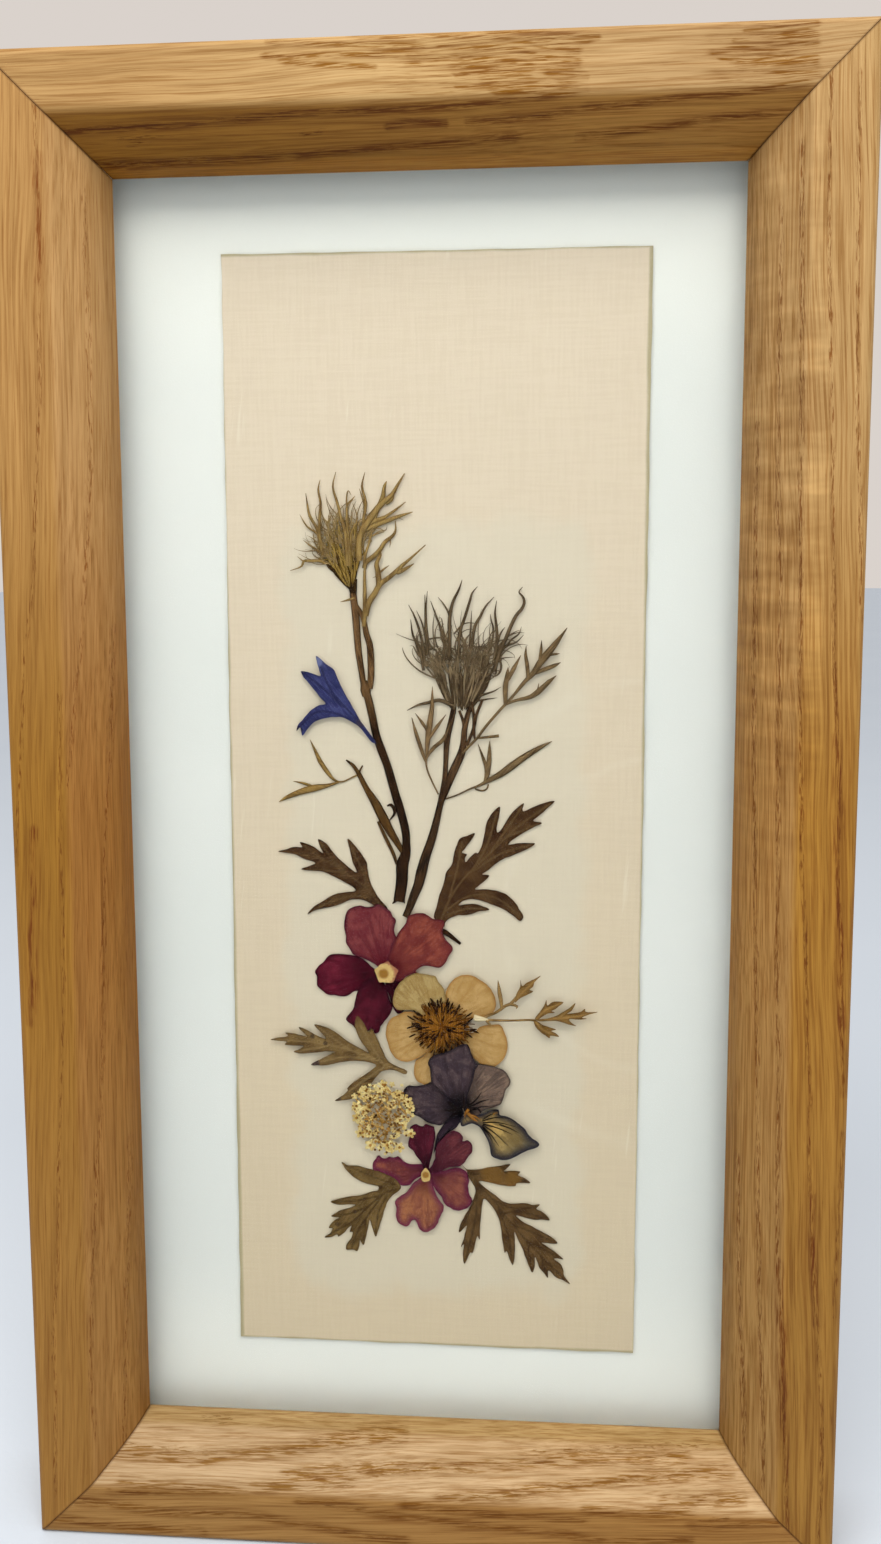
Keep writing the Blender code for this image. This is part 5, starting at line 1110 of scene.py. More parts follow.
def umbellet():
    rng = Random(8)
    middle, wide, tall = Vector((-9.3, 81.2)), 5.6, 7.4
    cream = Finish("cream_florets", Roughness=0.7, Specular_IOR_Level=0.04)
    tone = cream.noise(cream.point(), 1.6, 3)
    grain = cream.noise(cream.point(), 0.35, 2)
    inner = cream.vector("LENGTH", cream.point(-9.3, 0, 80.7, (1, 1000, 1.3)), output="Value") + tone * 3
    colour = cream.blend(tone.part(0.35, 0.65), (222, 202, 140), (192, 162, 96))
    colour = cream.blend(inner.part(5.4, 2.5) * 0.75, colour, (152, 108, 46))
    colour = cream.blend(grain.part(0.52, 0.7) * 0.55, colour, (140, 104, 52))
    skin = cream.paint(colour, relief=grain, depth=0.08)
    gold = Finish("golden_brown_dots", Roughness=0.65, Specular_IOR_Level=0.04)
    shade = gold.noise(gold.point(), 0.9, 2)
    dot_skin = gold.paint(gold.blend(shade.part(0.35, 0.65), (150, 104, 40), (92, 56, 18)), relief=shade)
    green = stalk_finish("umbel_rays", (170, 130, 66), (132, 96, 42), (188, 152, 92))
    outer = [(-9.2, 87.6), (-8.4, 75), (-11.8, 74.9), (-14.5, 83), (-14.5, 80.5), (-6, 85.5), (-4.2, 84.2),
             (-3.9, 82.6), (-3.7, 77.6), (-12.6, 86.2), (-6.0, 74.6), (-13.8, 77.4)]
    florets = [(x, z, rng.uniform(1.0, 1.25), rng.uniform(0, 6), rng.uniform(0.5, 0.9)) for x, z in outer]
    dots = [(x, z, 0.3, 0, 0.1) for x, z in outer]
    rays = []
    for index in range(PLACES):
        angle = index * GOLDEN_ANGLE
        reach = ((index + 0.5) / PLACES) ** 0.5
        uneven = 1 + 0.1 * sin(3 * angle) + rng.uniform(-0.06, 0.06)
        x = middle.x + wide * reach * uneven * cos(angle) + rng.uniform(-0.3, 0.3)
        z = middle.y + tall * reach * uneven * sin(angle) + rng.uniform(-0.3, 0.3)
        if rng.random() < 0.5 + reach * 0.36:
            florets.append((x, z, rng.uniform(0.35, 0.72), rng.uniform(0, 6), rng.uniform(0.1, 0.9)))
        for chance in (1.3, 0.7):
            if rng.random() < chance - reach * 0.7:
                dots.append((x + rng.uniform(-0.5, 0.5), z + rng.uniform(-0.5, 0.5), rng.uniform(0.14, 0.3),
                             0, 0.0))
        if reach < 0.85:
            way = Vector((rng.uniform(-1, 1), rng.uniform(-1, 1)))
            place = Vector((x, z))
            rays.append(([place - way, place + way.yx * 0.3, place + way], (0.3, 0.5, 0.3)))
    scatter("umbellet_florets", flat_bloom(20, 0.5, BLOOM), florets, "umbellet", skin, "cream_umbellet")
    scatter("umbellet_dots", flat_bloom(10, 0.15, DOT), dots, "umbellet", dot_skin, "cream_umbellet")
    strands("umbellet_rays", rays, "umbellet", green, "cream_umbellet", flat=0.2, sink=0.9)


umbellet()


# ---------------------------------------------------------------------------------------------------------
# The viola: slate-purple petals with near-black rims, a yellow lower petal veined in black, and one petal
# folded down beside it.
def viola():
    centre = (6.0, 83.2)
    slate = dict(heart=(4, 2, 3), blade=(84, 67, 68), blotch=(44, 35, 44), rim=(16, 11, 19),
                 vein=(44, 33, 37))
    ashen = dict(heart=(16, 10, 12), blade=(126, 103, 86), blotch=(92, 74, 66),
                 rim=(32, 24, 29), vein=(62, 49, 47), rim_width=0.5)
    golden = dict(heart=(216, 176, 98), blade=(104, 95, 74), blotch=(134, 112, 64),
                  rim=(34, 33, 44), vein=(104, 84, 48), mottle=0.5, spread=7.0, rim_width=2.4,
                  rim_share=1.0, core=16.0)
    folded = dict(heart=(20, 12, 18), blade=(60, 44, 54), blotch=(40, 28, 38),
                  rim=(15, 9, 17), vein=(30, 20, 28), spread=8.0, rim_width=0.7)
    petals = [
        ("viola_petal_left", slate, (
            (0.4, 88.1), (-1, 87.5), (-3, 87.2), (-4.2, 87.2), (-5, 86.5), (-5.3, 85.5), (-5.1, 84.3),
            (-4.8, 83.5), (-4.6, 82.4), (-3.5, 81.5), (-1.8, 80.7), (-0.5, 79.8), (0.8, 79.4), (2.2, 79.2),
            (4, 80.5), (6, 81), (6.8, 81.6), (6.4, 83), (4.6, 85.3), (2.6, 87))),
        ("viola_petal_top", slate, (
            (0.6, 88.2), (0.3, 90), (0.2, 91.5), (-0.2, 92.3), (0.1, 93.3), (1.1, 94.2), (2.6, 94.6),
            (3.8, 95.1), (5.2, 95.8), (6, 96.3), (7.5, 96.5), (8, 95.8), (8.3, 94.7), (9, 93.2), (9.6, 92.2),
            (9.1, 91.3), (8.7, 89.5), (8.1, 87.5), (7.5, 86), (7.4, 84.8), (6, 83.6), (4, 85), (2, 87))),
        ("viola_petal_right", ashen, (
            (9.6, 92.2), (11, 92), (13, 91.7), (14.5, 91.1), (15.5, 90), (16, 88.7), (15.9, 88),
            (15.2, 87.2), (14.8, 86), (14.5, 84.9), (14, 84), (12.8, 83.4), (11.5, 83), (10.5, 82.5),
            (10, 81.8), (9.2, 81.3), (8, 81.6), (6.8, 82.6), (6.6, 85), (7.4, 87.6), (8.4, 89.4),
            (8.8, 91.2))),
        ("viola_petal_lower", golden, (
            (6.2, 81), (7.5, 82), (9, 81.5), (10.2, 82), (11, 82.3), (12.5, 83), (13.7, 82.9), (13.9, 81.9),
            (15, 81.7), (16.5, 81.1), (17.6, 80.2), (18.8, 79.2), (19.5, 78.1), (20.4, 77.2), (21.4, 76.5),
            (21.7, 76), (21, 75.3), (19.8, 74.9), (18.5, 74.3), (17.2, 73.5), (15.8, 72.8), (14.5, 72.6),
            (13, 73), (12.2, 73.6), (12, 75), (11.6, 76.5), (10.9, 77.8), (10.2, 79), (9.6, 79.6), (8.3, 80),
            (6.4, 79.4))),
        ("viola_petal_folded", folded, (
            (6.6, 81), (4, 80.4), (2.5, 78.7), (1.5, 77), (1, 74.5), (0.8, 73), (1.5, 74.5), (2.5, 76),
            (3.5, 77.3), (5, 78.3), (5.8, 79.2), (6.6, 80.5)))]
    petals_of("viola", centre, petals, "viola_petal", fine=0.3)
    veins = [taper(points, 0.3) for points in [
        [(10.4, 80.6), (13, 81.4), (16, 81.3)], [(10.6, 80.3), (13.5, 80.4), (17, 79.6)],
        [(10.6, 80), (13.4, 79.3), (16.4, 78)], [(10.5, 79.8), (12.9, 78.2), (15.6, 75.6)],
        [(10.4, 79.6), (12.2, 77.8), (13.8, 75.4)], [(10.2, 79.5), (11.6, 78), (12.6, 76.2)],
        [(10.5, 80.9), (12, 81.9), (13.4, 82.4)], [(13.8, 80), (15.8, 79.3), (17.6, 78.4)]]]
    throat = [taper(points, width) for points, width in [
        ([(6.4, 83.4), (5.2, 85), (4.6, 86.6)], 1.3),
        ([(6.2, 83.2), (4.8, 83.9), (3.6, 84.6)], 1.2),
        ([(6.2, 83), (4.6, 82.8), (3, 83)], 1.1),
        ([(6.4, 83), (5.2, 82.2), (4, 81.5)], 1.1),
        ([(6.6, 83.4), (7, 85), (6.8, 86.8)], 0.8),
        ([(6.8, 83), (9.6, 83.4), (10.3, 82.4)], 0.7),
        ([(7, 83.2), (9.4, 85.4), (10.4, 87)], 0.4),
        ([(7, 83.2), (10.1, 84.8), (11.8, 85.4)], 0.45),
        ([(7, 83), (10.4, 83.8), (12.6, 83.8)], 0.4)]]
    beard = [taper(points, width) for points, width in [
        ([(7.8, 83.2), (7.2, 82.4), (7, 81.5)], 0.8),
        ([(7.6, 82.4), (8.6, 81.4), (9.6, 80.7)], 0.9),
        ([(8, 82), (9, 81.8), (10.2, 81)], 0.6),
        ([(12.6, 82.2), (13, 82.6), (13.6, 82.6)], 0.4)]]
    line = stalk_finish("viola_black", (20, 11, 10), (8, 4, 5), (40, 27, 22))
    orange = stalk_finish("viola_beard", (146, 94, 34), (92, 54, 18), (170, 122, 60))
    strands("viola_lower_veins", veins, "viola_petal_4", line, "viola_petal", flat=0.1, sink=-0.35)
    strands("viola_throat", throat, "viola_petal_2", line, "viola_petal", flat=0.06, sink=0.1)
    strands("viola_beard", beard, "viola_petal_2", orange, "viola_petal", flat=0.08, sink=0.0)


viola()


# ---------------------------------------------------------------------------------------------------------
# The pink flower, lowest of the bouquet: two darker upper petals and three faded to orange pink inside a
# purple rim, round a small tear-shaped eye.
def pink_flower():
    centre = (-0.8, 69.2)
    dark_heart = (40, 6, 14)
    petals = [
        ("pink_petal_top", dict(
            heart=dark_heart, blade=(98, 33, 47), blotch=(60, 12, 26), rim=(44, 7, 24),
            vein=(44, 8, 20)), (
            (-1.4, 70.9), (-2.1, 72.2), (-2.9, 73.1), (-3.3, 74), (-4.2, 74.7), (-4.2, 75.6), (-4, 76.6),
            (-3.4, 77.4), (-3.9, 78.5), (-3.3, 79.2), (-2.6, 79.4), (-2.1, 79.1), (-1.3, 79.1), (-0.8, 79.5),
            (0.1, 79.3), (0.9, 79), (1.1, 78.1), (1.2, 77), (1, 75.8), (0.8, 74.5), (0.5, 73.1), (0.1, 71.7),
            (-0.3, 69.6), (-0.9, 69.6))),
        ("pink_petal_upper_right", dict(
            heart=dark_heart, blade=(104, 49, 52), blotch=(70, 26, 36), rim=(60, 14, 34),
            vein=(62, 21, 30)), (
            (0.2, 70.4), (1, 72.2), (1.2, 74), (1.7, 75.4), (2.6, 76.5), (3.5, 77.4), (4.6, 78.1), (5.3, 78),
            (6.2, 77.5), (6.6, 76.7), (6.6, 76), (7.4, 76.2), (8.2, 75.7), (8.6, 74.9), (8.4, 73.8),
            (7.8, 72.9), (7, 71.7), (6, 70.8), (4.9, 70.6), (3.7, 70.4), (1.9, 69.5), (0.2, 69.2),
            (-0.6, 69.4))),
        ("pink_petal_right", dict(
            heart=(72, 26, 26), blade=(138, 79, 62), blotch=(110, 56, 52), rim=(88, 28, 52),
            vein=(94, 43, 41), rim_width=1.7, rim_share=1.0, mottle=0.9), (
            (-0.2, 68.6), (0.5, 69.2), (1.9, 69.5), (3.7, 69.8), (5.3, 70.3), (6.7, 69.9), (7.5, 69.1),
            (7.8, 67.6), (7.7, 66), (7.9, 64.7), (8.5, 63.5), (8.3, 62.9), (7.4, 61.8), (6, 61.3),
            (5.3, 61.3), (4, 61.8), (3, 62.6), (2.4, 63.9), (1.7, 64.8), (1, 65.8), (0.3, 67.2))),
        ("pink_petal_bottom", dict(
            heart=(92, 42, 30), blade=(152, 97, 65), blotch=(126, 71, 56), rim=(104, 42, 62),
            vein=(112, 60, 48), rim_width=1.5, rim_share=1.0, mottle=0.9), (
            (-0.9, 68.8), (-2, 68), (-4, 66), (-4.7, 64.9), (-6, 64), (-7, 62.9), (-6.7, 61.3), (-6.8, 59.5),
            (-6.2, 58.3), (-5.1, 57.7), (-4.2, 58.1), (-3.7, 58.9), (-3.1, 59.2), (-2.6, 58.5), (-2.1, 57.3),
            (-1.3, 56.7), (-0.4, 56.7), (0.5, 57.2), (1.5, 58.5), (2, 59.9), (2.7, 61.3), (2.7, 62.4),
            (1.9, 63.5), (1.2, 64.7), (0.8, 65.8), (0.4, 67.5), (-0.2, 68.8))),
        ("pink_petal_left", dict(
            heart=(66, 22, 24), blade=(138, 76, 56), blotch=(98, 44, 46), rim=(92, 30, 54),
            vein=(88, 36, 39), rim_width=1.5, rim_share=1.0, mottle=0.9), (
            (-1, 69), (-1.5, 70.6), (-2.6, 70.6), (-4, 70.6), (-4.9, 70.9), (-5.6, 71.6), (-6.3, 72.1),
            (-7.2, 71.8), (-8.1, 72), (-9, 71.6), (-9.7, 71.8), (-10.2, 72.2), (-10.8, 71.6), (-11.5, 70.4),
            (-11.3, 69.2), (-9.9, 68.8), (-8.3, 68.1), (-7, 67.4), (-6.3, 66.7), (-5.7, 66), (-4, 66.3),
            (-2.5, 67.8), (-1.2, 68.4)))]
    petals_of("pink_flower", centre, petals, "pink_petal", cockle=0.07, fine=0.3, ragged=0.14)
    tear = [(-0.8, 70.5), (-1.4, 69.8), (-1.7, 68.9), (-1.5, 68), (-0.9, 67.6), (-0.2, 67.8), (0.2, 68.6),
            (-0.1, 69.7)]
    pressed_sheet("pink_flower_tear", tear, "pink_flower_eye", eye_finish("pale_tear", -0.8, 69, 1.5),
                  "pale_eye", ragged=0.15, fine=0.25)


pink_flower()


# ---------------------------------------------------------------------------------------------------------
# The two low leaves under the pink flower, deeply cut and toothed: the left olive brown, the right browner,
# with an amber top lobe. Their veins are dark and the blades are spotted.
def low_leaves():
    left = [
        (-5.8, 65.8), (-7.2, 67.6), (-8.1, 68), (-10.4, 68.9), (-11.7, 69.2), (-13.3, 69.6), (-14.5, 69.9),
        (-16.3, 69.9), (-17.75, 70.6), (-17.2, 69.5), (-16, 68.1), (-14.9, 67.2), (-13.3, 66.4),
        (-11.3, 65.9), (-10.4, 65.7), (-10.4, 64.9), (-11.7, 64.5), (-13.8, 63.7), (-15.8, 63.4),
        (-17.9, 62.9), (-20.1, 62.1), (-18.8, 61.6), (-17.2, 61.6), (-15.6, 61.7), (-15, 61.6), (-16, 61),
        (-17.9, 60.4), (-19.2, 59.6), (-20, 59), (-18.3, 58.8), (-19.5, 58.1), (-20.5, 56.5), (-19.8, 56.5),
        (-20.1, 55.6), (-21.4, 54.5), (-20.1, 54.6), (-18.8, 55.1), (-18.7, 54.7), (-17.6, 55.4),
        (-16.5, 56.7), (-15.9, 57.2), (-16.3, 55.8), (-15.7, 55.8), (-16, 54.5), (-17, 52.9), (-17, 52.1),
        (-16, 52), (-15.4, 52), (-14.8, 51.7), (-14.3, 53.1), (-14.2, 54.2), (-14, 53.8), (-13.5, 53.1),
        (-13.1, 54.2), (-12.75, 55.8), (-12.4, 57.6), (-12.2, 58.5), (-11.8, 57.2), (-11, 55), (-10.4, 56.7),
        (-9.9, 58.3), (-9.5, 59.5), (-9.1, 61), (-8.3, 62.9), (-7.2, 64.2), (-6, 65.1)]
    left_veins = [
        [(-6, 65.4), (-9, 64.4), (-12, 61.8), (-15.5, 58.2), (-20.8, 55)],
        [(-6.4, 66), (-10.5, 67.4), (-17, 70)], [(-10, 63.8), (-14.5, 62.6), (-19.3, 62)],
        [(-12.4, 61.4), (-16, 59.8), (-19.3, 59.2)],
        [(-9.8, 63.5), (-12.5, 59.5), (-14.6, 56), (-15.9, 52.4)], [(-8.6, 63.8), (-10.3, 60.5), (-11, 56)],
        [(-12.9, 58.8), (-13.5, 53.8)]]
    right = [
        (6.4, 70.8), (7.3, 69.9), (7.8, 69.8), (9.8, 69.9), (11.9, 70.4), (13.7, 70.7), (16, 71.2),
        (15.3, 70.25), (14.7, 69.7), (16.4, 69.8), (18, 69.7), (17.5, 69), (18.9, 68.3), (20, 67.4),
        (18.7, 67.4), (17.2, 67.2), (17.1, 66.7), (15.7, 66.6), (13.9, 66.8), (12.1, 67.2), (9.8, 67.4),
        (10.5, 66.5), (12.1, 65.25), (13.5, 64.2), (14.8, 63.2), (16.6, 62.9), (18.9, 63.1), (20.7, 62.75),
        (21.9, 62.9), (21.2, 62), (22.5, 61.3), (23.9, 59.7), (22.3, 59.8), (20.7, 59.7), (18.9, 60.1),
        (17.2, 60.5), (18.5, 59.2), (20.3, 58.3), (22.3, 57.2), (24.1, 56.2), (25.5, 54.9), (23.9, 54.8),
        (22.3, 54.9), (23.5, 54), (25, 53), (26.6, 51.5), (25.5, 51.7), (24.8, 51.5), (26, 50.6),
        (26.6, 49.5), (26.9, 47.9), (28, 46.3), (26.6, 47.1), (25.3, 47.6), (24.1, 48.8), (23.7, 49),
        (23.6, 47.5), (22.8, 48.5), (21.9, 49.6), (21.4, 51), (21, 51.8), (21, 50.1), (20.5, 48.5),
        (19.8, 49.9), (19.1, 51.7), (18.5, 53.5), (17.5, 55.6), (16.9, 57), (17, 55.4), (17, 53.1),
        (16.9, 51.3), (16.6, 49.9), (16, 51), (15.3, 52.9), (15, 52.5), (14.7, 54), (14.4, 55.8),
        (14.25, 57.6), (13.9, 59.2), (13.2, 61), (12.1, 62.6), (10.8, 63.8), (10.4, 62.2), (10.2, 59.9),
        (10, 57.6), (9.9, 55.1), (9.5, 55.8), (9.25, 55.1), (8.9, 53.5), (8.5, 52.2), (8.1, 52.3), (7.5, 51),
        (6.9, 49.8), (6.6, 51.7), (6.75, 54), (6.2, 53.4), (6.75, 55.1), (7.1, 56.7), (7.4, 58), (6.6, 57.2),
        (5.8, 56.5), (6, 57.9), (6.9, 59.9), (7.8, 61.5), (8.5, 63.1), (9, 64.7), (9.1, 65.8), (8.5, 67),
        (7.7, 68.3), (7.4, 69.5)]
    right_veins = [
        [(6.8, 70.4), (8.8, 67.8), (12.6, 63.6), (16.5, 58.4), (20.5, 54), (27.2, 47)],
        [(8.4, 69), (13, 69), (19.2, 67.7)], [(12.4, 63.9), (16.5, 62), (21.4, 62.4)],
        [(14.6, 61), (18.5, 61.2), (23.2, 60)], [(16.6, 58.5), (20.6, 57), (25, 55)],
        [(19.2, 55.4), (25.6, 52)], [(13.8, 61.6), (15.6, 56.4), (16.4, 50.8)], [(19.4, 55), (20.4, 49.2)],
        [(9.3, 67), (9.4, 62), (8.6, 57), (7.3, 51.2)], [(8.8, 63.5), (7.6, 60.4), (6.3, 57.4)],
        [(22.2, 52), (23.2, 48.3)]]
    ochre = (112, 79, 34)
    left_skin = leaf_finish(
        "low_leaf_left", (114, 90, 51), (76, 55, 28), (60, 41, 20), (124, 100, 60), 0.6,
        spots=[(-15.2, 60.2, 0.45, (58, 40, 26)), (-9.9, 65.6, 0.45, (58, 40, 26)),
               (-13.2, 63, 0.35, (64, 46, 28)), (-18.8, 57.4, 0.5, (70, 50, 32))])
    right_skin = leaf_finish(
        "low_leaf_right", (100, 75, 44), (68, 46, 24), (52, 34, 17), (114, 86, 52), -0.6,
        spots=[(12.5, 68.8, 2.4, ochre), (16.4, 68.2, 1.8, ochre), (9.6, 66, 0.5, (54, 36, 24)),
               (17.6, 61.4, 0.5, (58, 40, 26))])
    pressed_sheet("toothed_leaf_left", left, "low_leaf_left", left_skin, "brown_leaf", left_veins)
    pressed_sheet("toothed_leaf_right", right, "low_leaf_right", right_skin, "brown_leaf", right_veins)


low_leaves()


# ---------------------------------------------------------------------------------------------------------
# The glass pane: 2 mm picture glass, held off the card by the specimens' thickness. Clear, with plain
# transmission, so the card is seen and lit through it.
def glass_finish():
    glass = Finish("window_glass", IOR=1.07, Roughness=0.0, Transmission_Weight=1.0)
    glass.shader.inputs["Base Color"].default_value = (*screen(253, 255, 254), 1)
    return glass.material


refinish("glass_pane", glass_finish())


# ---------------------------------------------------------------------------------------------------------
# The frame: four lengths of oiled hardwood moulding with open pores, cut from different boards, mitred, glued
# and pinned. Flat front with an eased outer edge, and a hollow slope down to the lip over the glass. Their
# colours differ partly by board and partly by painted light and shade from above.
RAIL_WIDTH, RAIL_DEPTH, LIP, LIP_DEPTH = 19.6, 24.0, 6.35, 12.8
ARRIS, ARRIS_STEPS = 1.5, 6  # the eased outer edge, a quarter round
FRONT_STEP, FRONT_STEPS = 0.3, 28  # across the flat front
NOSE, NOSE_EASE = 0.5, 0.15  # the lip's edge
MITRE_GAP = 0.08
SAWN_OFF = 1.0  # drawn past each corner, then cut off
SLOPE = [(7.0, 0.0), (10.2, 0.05), (11.1, 0.4), (12.0, 1.1), (13.5, 2.6), (15.3, 4.4), (17.0, 6.5),
         (18.4, 9.0), (19.2, 11.2), (RAIL_WIDTH, LIP_DEPTH - NOSE)]
SLOPE_STEPS = 7  # between two of its places
RIDGE, LIP_NOSE = (10, 11.8), (17.9, 18.7)  # insets over which front turns to slope, and slope to lip
RAIL_STEP = 1.7  # along the rail, between the rings of points that carry the drawn grain


def moulding_section():
    """The section once round, as (inset from the outer edge, depth from the front)."""
    quarter = [pi / 2 * step / ARRIS_STEPS for step in range(ARRIS_STEPS + 1)]
    arris = [(ARRIS - ARRIS * cos(angle), ARRIS - ARRIS * sin(angle)) for angle in quarter]
    front = [(ARRIS + FRONT_STEP * step, 0.0) for step in range(1, FRONT_STEPS + 1)]
    slope = [tuple(place) for place in smooth_line(SLOPE, SLOPE_STEPS)[SLOPE_STEPS:]]
    back_of_lip = RAIL_WIDTH - LIP
    return [*arris, *front, *slope, (RAIL_WIDTH - NOSE_EASE, LIP_DEPTH), (back_of_lip, LIP_DEPTH),
            (back_of_lip, RAIL_DEPTH), (0.0, RAIL_DEPTH)]


def oak(name, along, inward, edge, seed, lean, front, slope, lip, dark, breadth,
        dashes=(0.5, 0.62), bands=(0.44, 0.58), flames=(), ripple=None, fineness=0.75):
    """Oiled oak. front and slope are its colours at places along it, partly the wood's own and partly painted
    light and shade from above; lean is how far its grain runs across.

    The drawn lines of grain are read from the rail's points. dark is their shade on the front and the slope,
    in parts of the wood's own colour, and breadth is that of the broad ones. Flames are patches of short dark
    dashes, and a ripple is a stretch of waves across the grain.
    """
    wood = Finish(name)
    place = wood.point()
    length = wood.vector("DOT_PRODUCT", place, along, output="Value")
    inset = wood.vector("DOT_PRODUCT", place, inward, output="Value") - edge
    depth = wood.axes(place)[1] + seed * 9
    drift = wood.noise(wood.join(length / 45, inset / 14, depth / 14), 1, 1) * 3
    across = inset - length * lean + drift

    def lines(long, fine, detail=3):
        """Noise drawn out along the grain: its length in millimetres, and how many a millimetre across."""
        return wood.noise(wood.join(length / long, across * fine, depth * fine), 1, detail, 0.6)

    fibre, fine, figure = lines(13, 3.2, 4), lines(24, 2.3, 4), lines(34, 0.9)
    dash, streak = lines(2.4, 4.2), lines(6.5, 3.3)
    bundle = (wood.attribute("broad") + (figure - 0.5) * 0.7 * breadth).part(breadth, breadth * 0.1)
    grain = bundle * 0.15 + bundle * streak.part(*bands) * 0.85
    for middle, reach, inset_middle, inset_reach in flames:
        patch = (length - middle + (figure - 0.5) * 12).near(0, reach).part(0, 0.55)
        patch = patch * inset.near(inset_middle, inset_reach).part(0, 0.5)
        grain = grain.most(patch * (0.06 + streak.part(0.5, 0.64) * 0.55))
    thin = wood.attribute("thin") + (fibre - 0.5) * 0.8 + (streak - 0.5) * 1.1
    pores = thin.part(0.6, 0.05) * dash.part(*dashes)
    stray = (fibre * 0.6 + dash * 0.4).part(0.6, 0.68) * 0.4
    grain = grain.most(pores * 0.9).most(stray)

    def graded(stations):
        colour = stations[0][1]
        for (start, _), (end, further) in zip(stations, stations[1:]):
            colour = wood.blend(length.part(start, end), colour, further)
        return colour

    on_slope = inset.part(*RIDGE)
    # The front and slope colours carry painted light and shade: lighter where light from above falls, darker
    # where the moulding turns from it.
    colour = wood.blend(on_slope, graded(front), graded(slope))
    colour = wood.scaled(colour, figure.part(0.25, 0.75), (0.88, 0.85, 0.8), (1.12, 1.13, 1.17))
    colour = wood.scaled(colour, fibre.part(0.46, 0.66) * 0.5 + fine.part(0.42, 0.66) * fineness,
                         (0.66, 0.55, 0.4))
    colour = wood.scaled(colour, grain, wood.mix(on_slope, *dark))
    if ripple:
        middle, reach, from_inset, strength = ripple
        waves = wood.noise(wood.join(length / 3, inset / 14, depth / 14), 1, 2)
        where = (length - middle).near(0, reach) * inset.part(from_inset - 3, from_inset + 1) * strength
        colour = wood.scaled(colour, waves.part(0.45, 0.7) * where, (0.7, 0.62, 0.52))
        colour = wood.scaled(colour, waves.part(0.5, 0.3) * where, (1.35, 1.38, 1.45))
    colour = wood.scaled(colour, inset.part(*LIP_NOSE), lip)
    colour = wood.scaled(colour, wood.attribute("mitre").part(0.6, 0.05) * 0.7, (0.42, 0.33, 0.25))
    return wood.paint(colour, (fibre - pores) * 0.3, 0.12, 0.46 + fibre * 0.16 + pores * 0.2)


def rail(name, along, inward, thin, broad, **grain):
    """One length of moulding: its section drawn out past both corners in steps, then sawn off at the mitres.

    thin and broad are the grain's lines, drawn as (length, inset) places; the rest of the grain is oak's.
    """
    node = "frame_" + name
    low, high = [corner / MM for corner in CAD_BOX]
    along, inward, deeper = Vector(along), Vector(inward), Vector((0, 1, 0))
    middle = Vector(((low.x + high.x) / 2, 0, (low.z + high.z) / 2))
    half_length = (high - low).dot(along) / 2
    outer = middle - inward * abs((high - low).dot(inward)) / 2 + deeper * box_of(node)[0].y
    section = moulding_section()
    bpy.ops.object.select_all(action="DESELECT")
    bpy.ops.mesh.primitive_circle_add(vertices=len(section), fill_type="NGON")
    piece = bpy.context.object
    start = outer - along * (half_length + SAWN_OFF)
    for vertex, (inset, depth) in zip(piece.data.vertices, section):
        vertex.co = start + inward * inset + deeper * depth
    edit()
    drawn = 2 * (half_length + SAWN_OFF)
    steps = round(drawn / RAIL_STEP)
    for _ in range(steps):
        bpy.ops.mesh.extrude_region_move(TRANSFORM_OT_translate={"value": along * drawn / steps})
    for end in (-1, 1):
        across = (along * end + inward).normalized()
        corner = outer + along * end * half_length
        bpy.ops.mesh.select_all(action="SELECT")
        bpy.ops.mesh.bisect(
            plane_co=corner - across * MITRE_GAP / 2, plane_no=across, use_fill=True, clear_outer=True)
    bpy.ops.mesh.select_all(action="SELECT")
    bpy.ops.mesh.normals_make_consistent(inside=False)
    bpy.ops.object.mode_set(mode="OBJECT")
    places = np.array([(vertex.co.dot(along),
                        (vertex.co - outer).dot(inward)) for vertex in piece.data.vertices])
    to_end = half_length - abs(places[:, 0] - middle.dot(along)) - places[:, 1]
    mark(piece, thin=distances(places, [smooth_line(line) for line in thin]),
         broad=distances(places, [smooth_line(line) for line in broad]), mitre=to_end)
    piece.data.shade_smooth()
    piece.data.set_sharp_from_angle(angle=radians(32))
    material = oak("oak_" + name, along, inward, outer.dot(inward), **grain)
    settle(piece, name, material, "pale_hardwood", node)


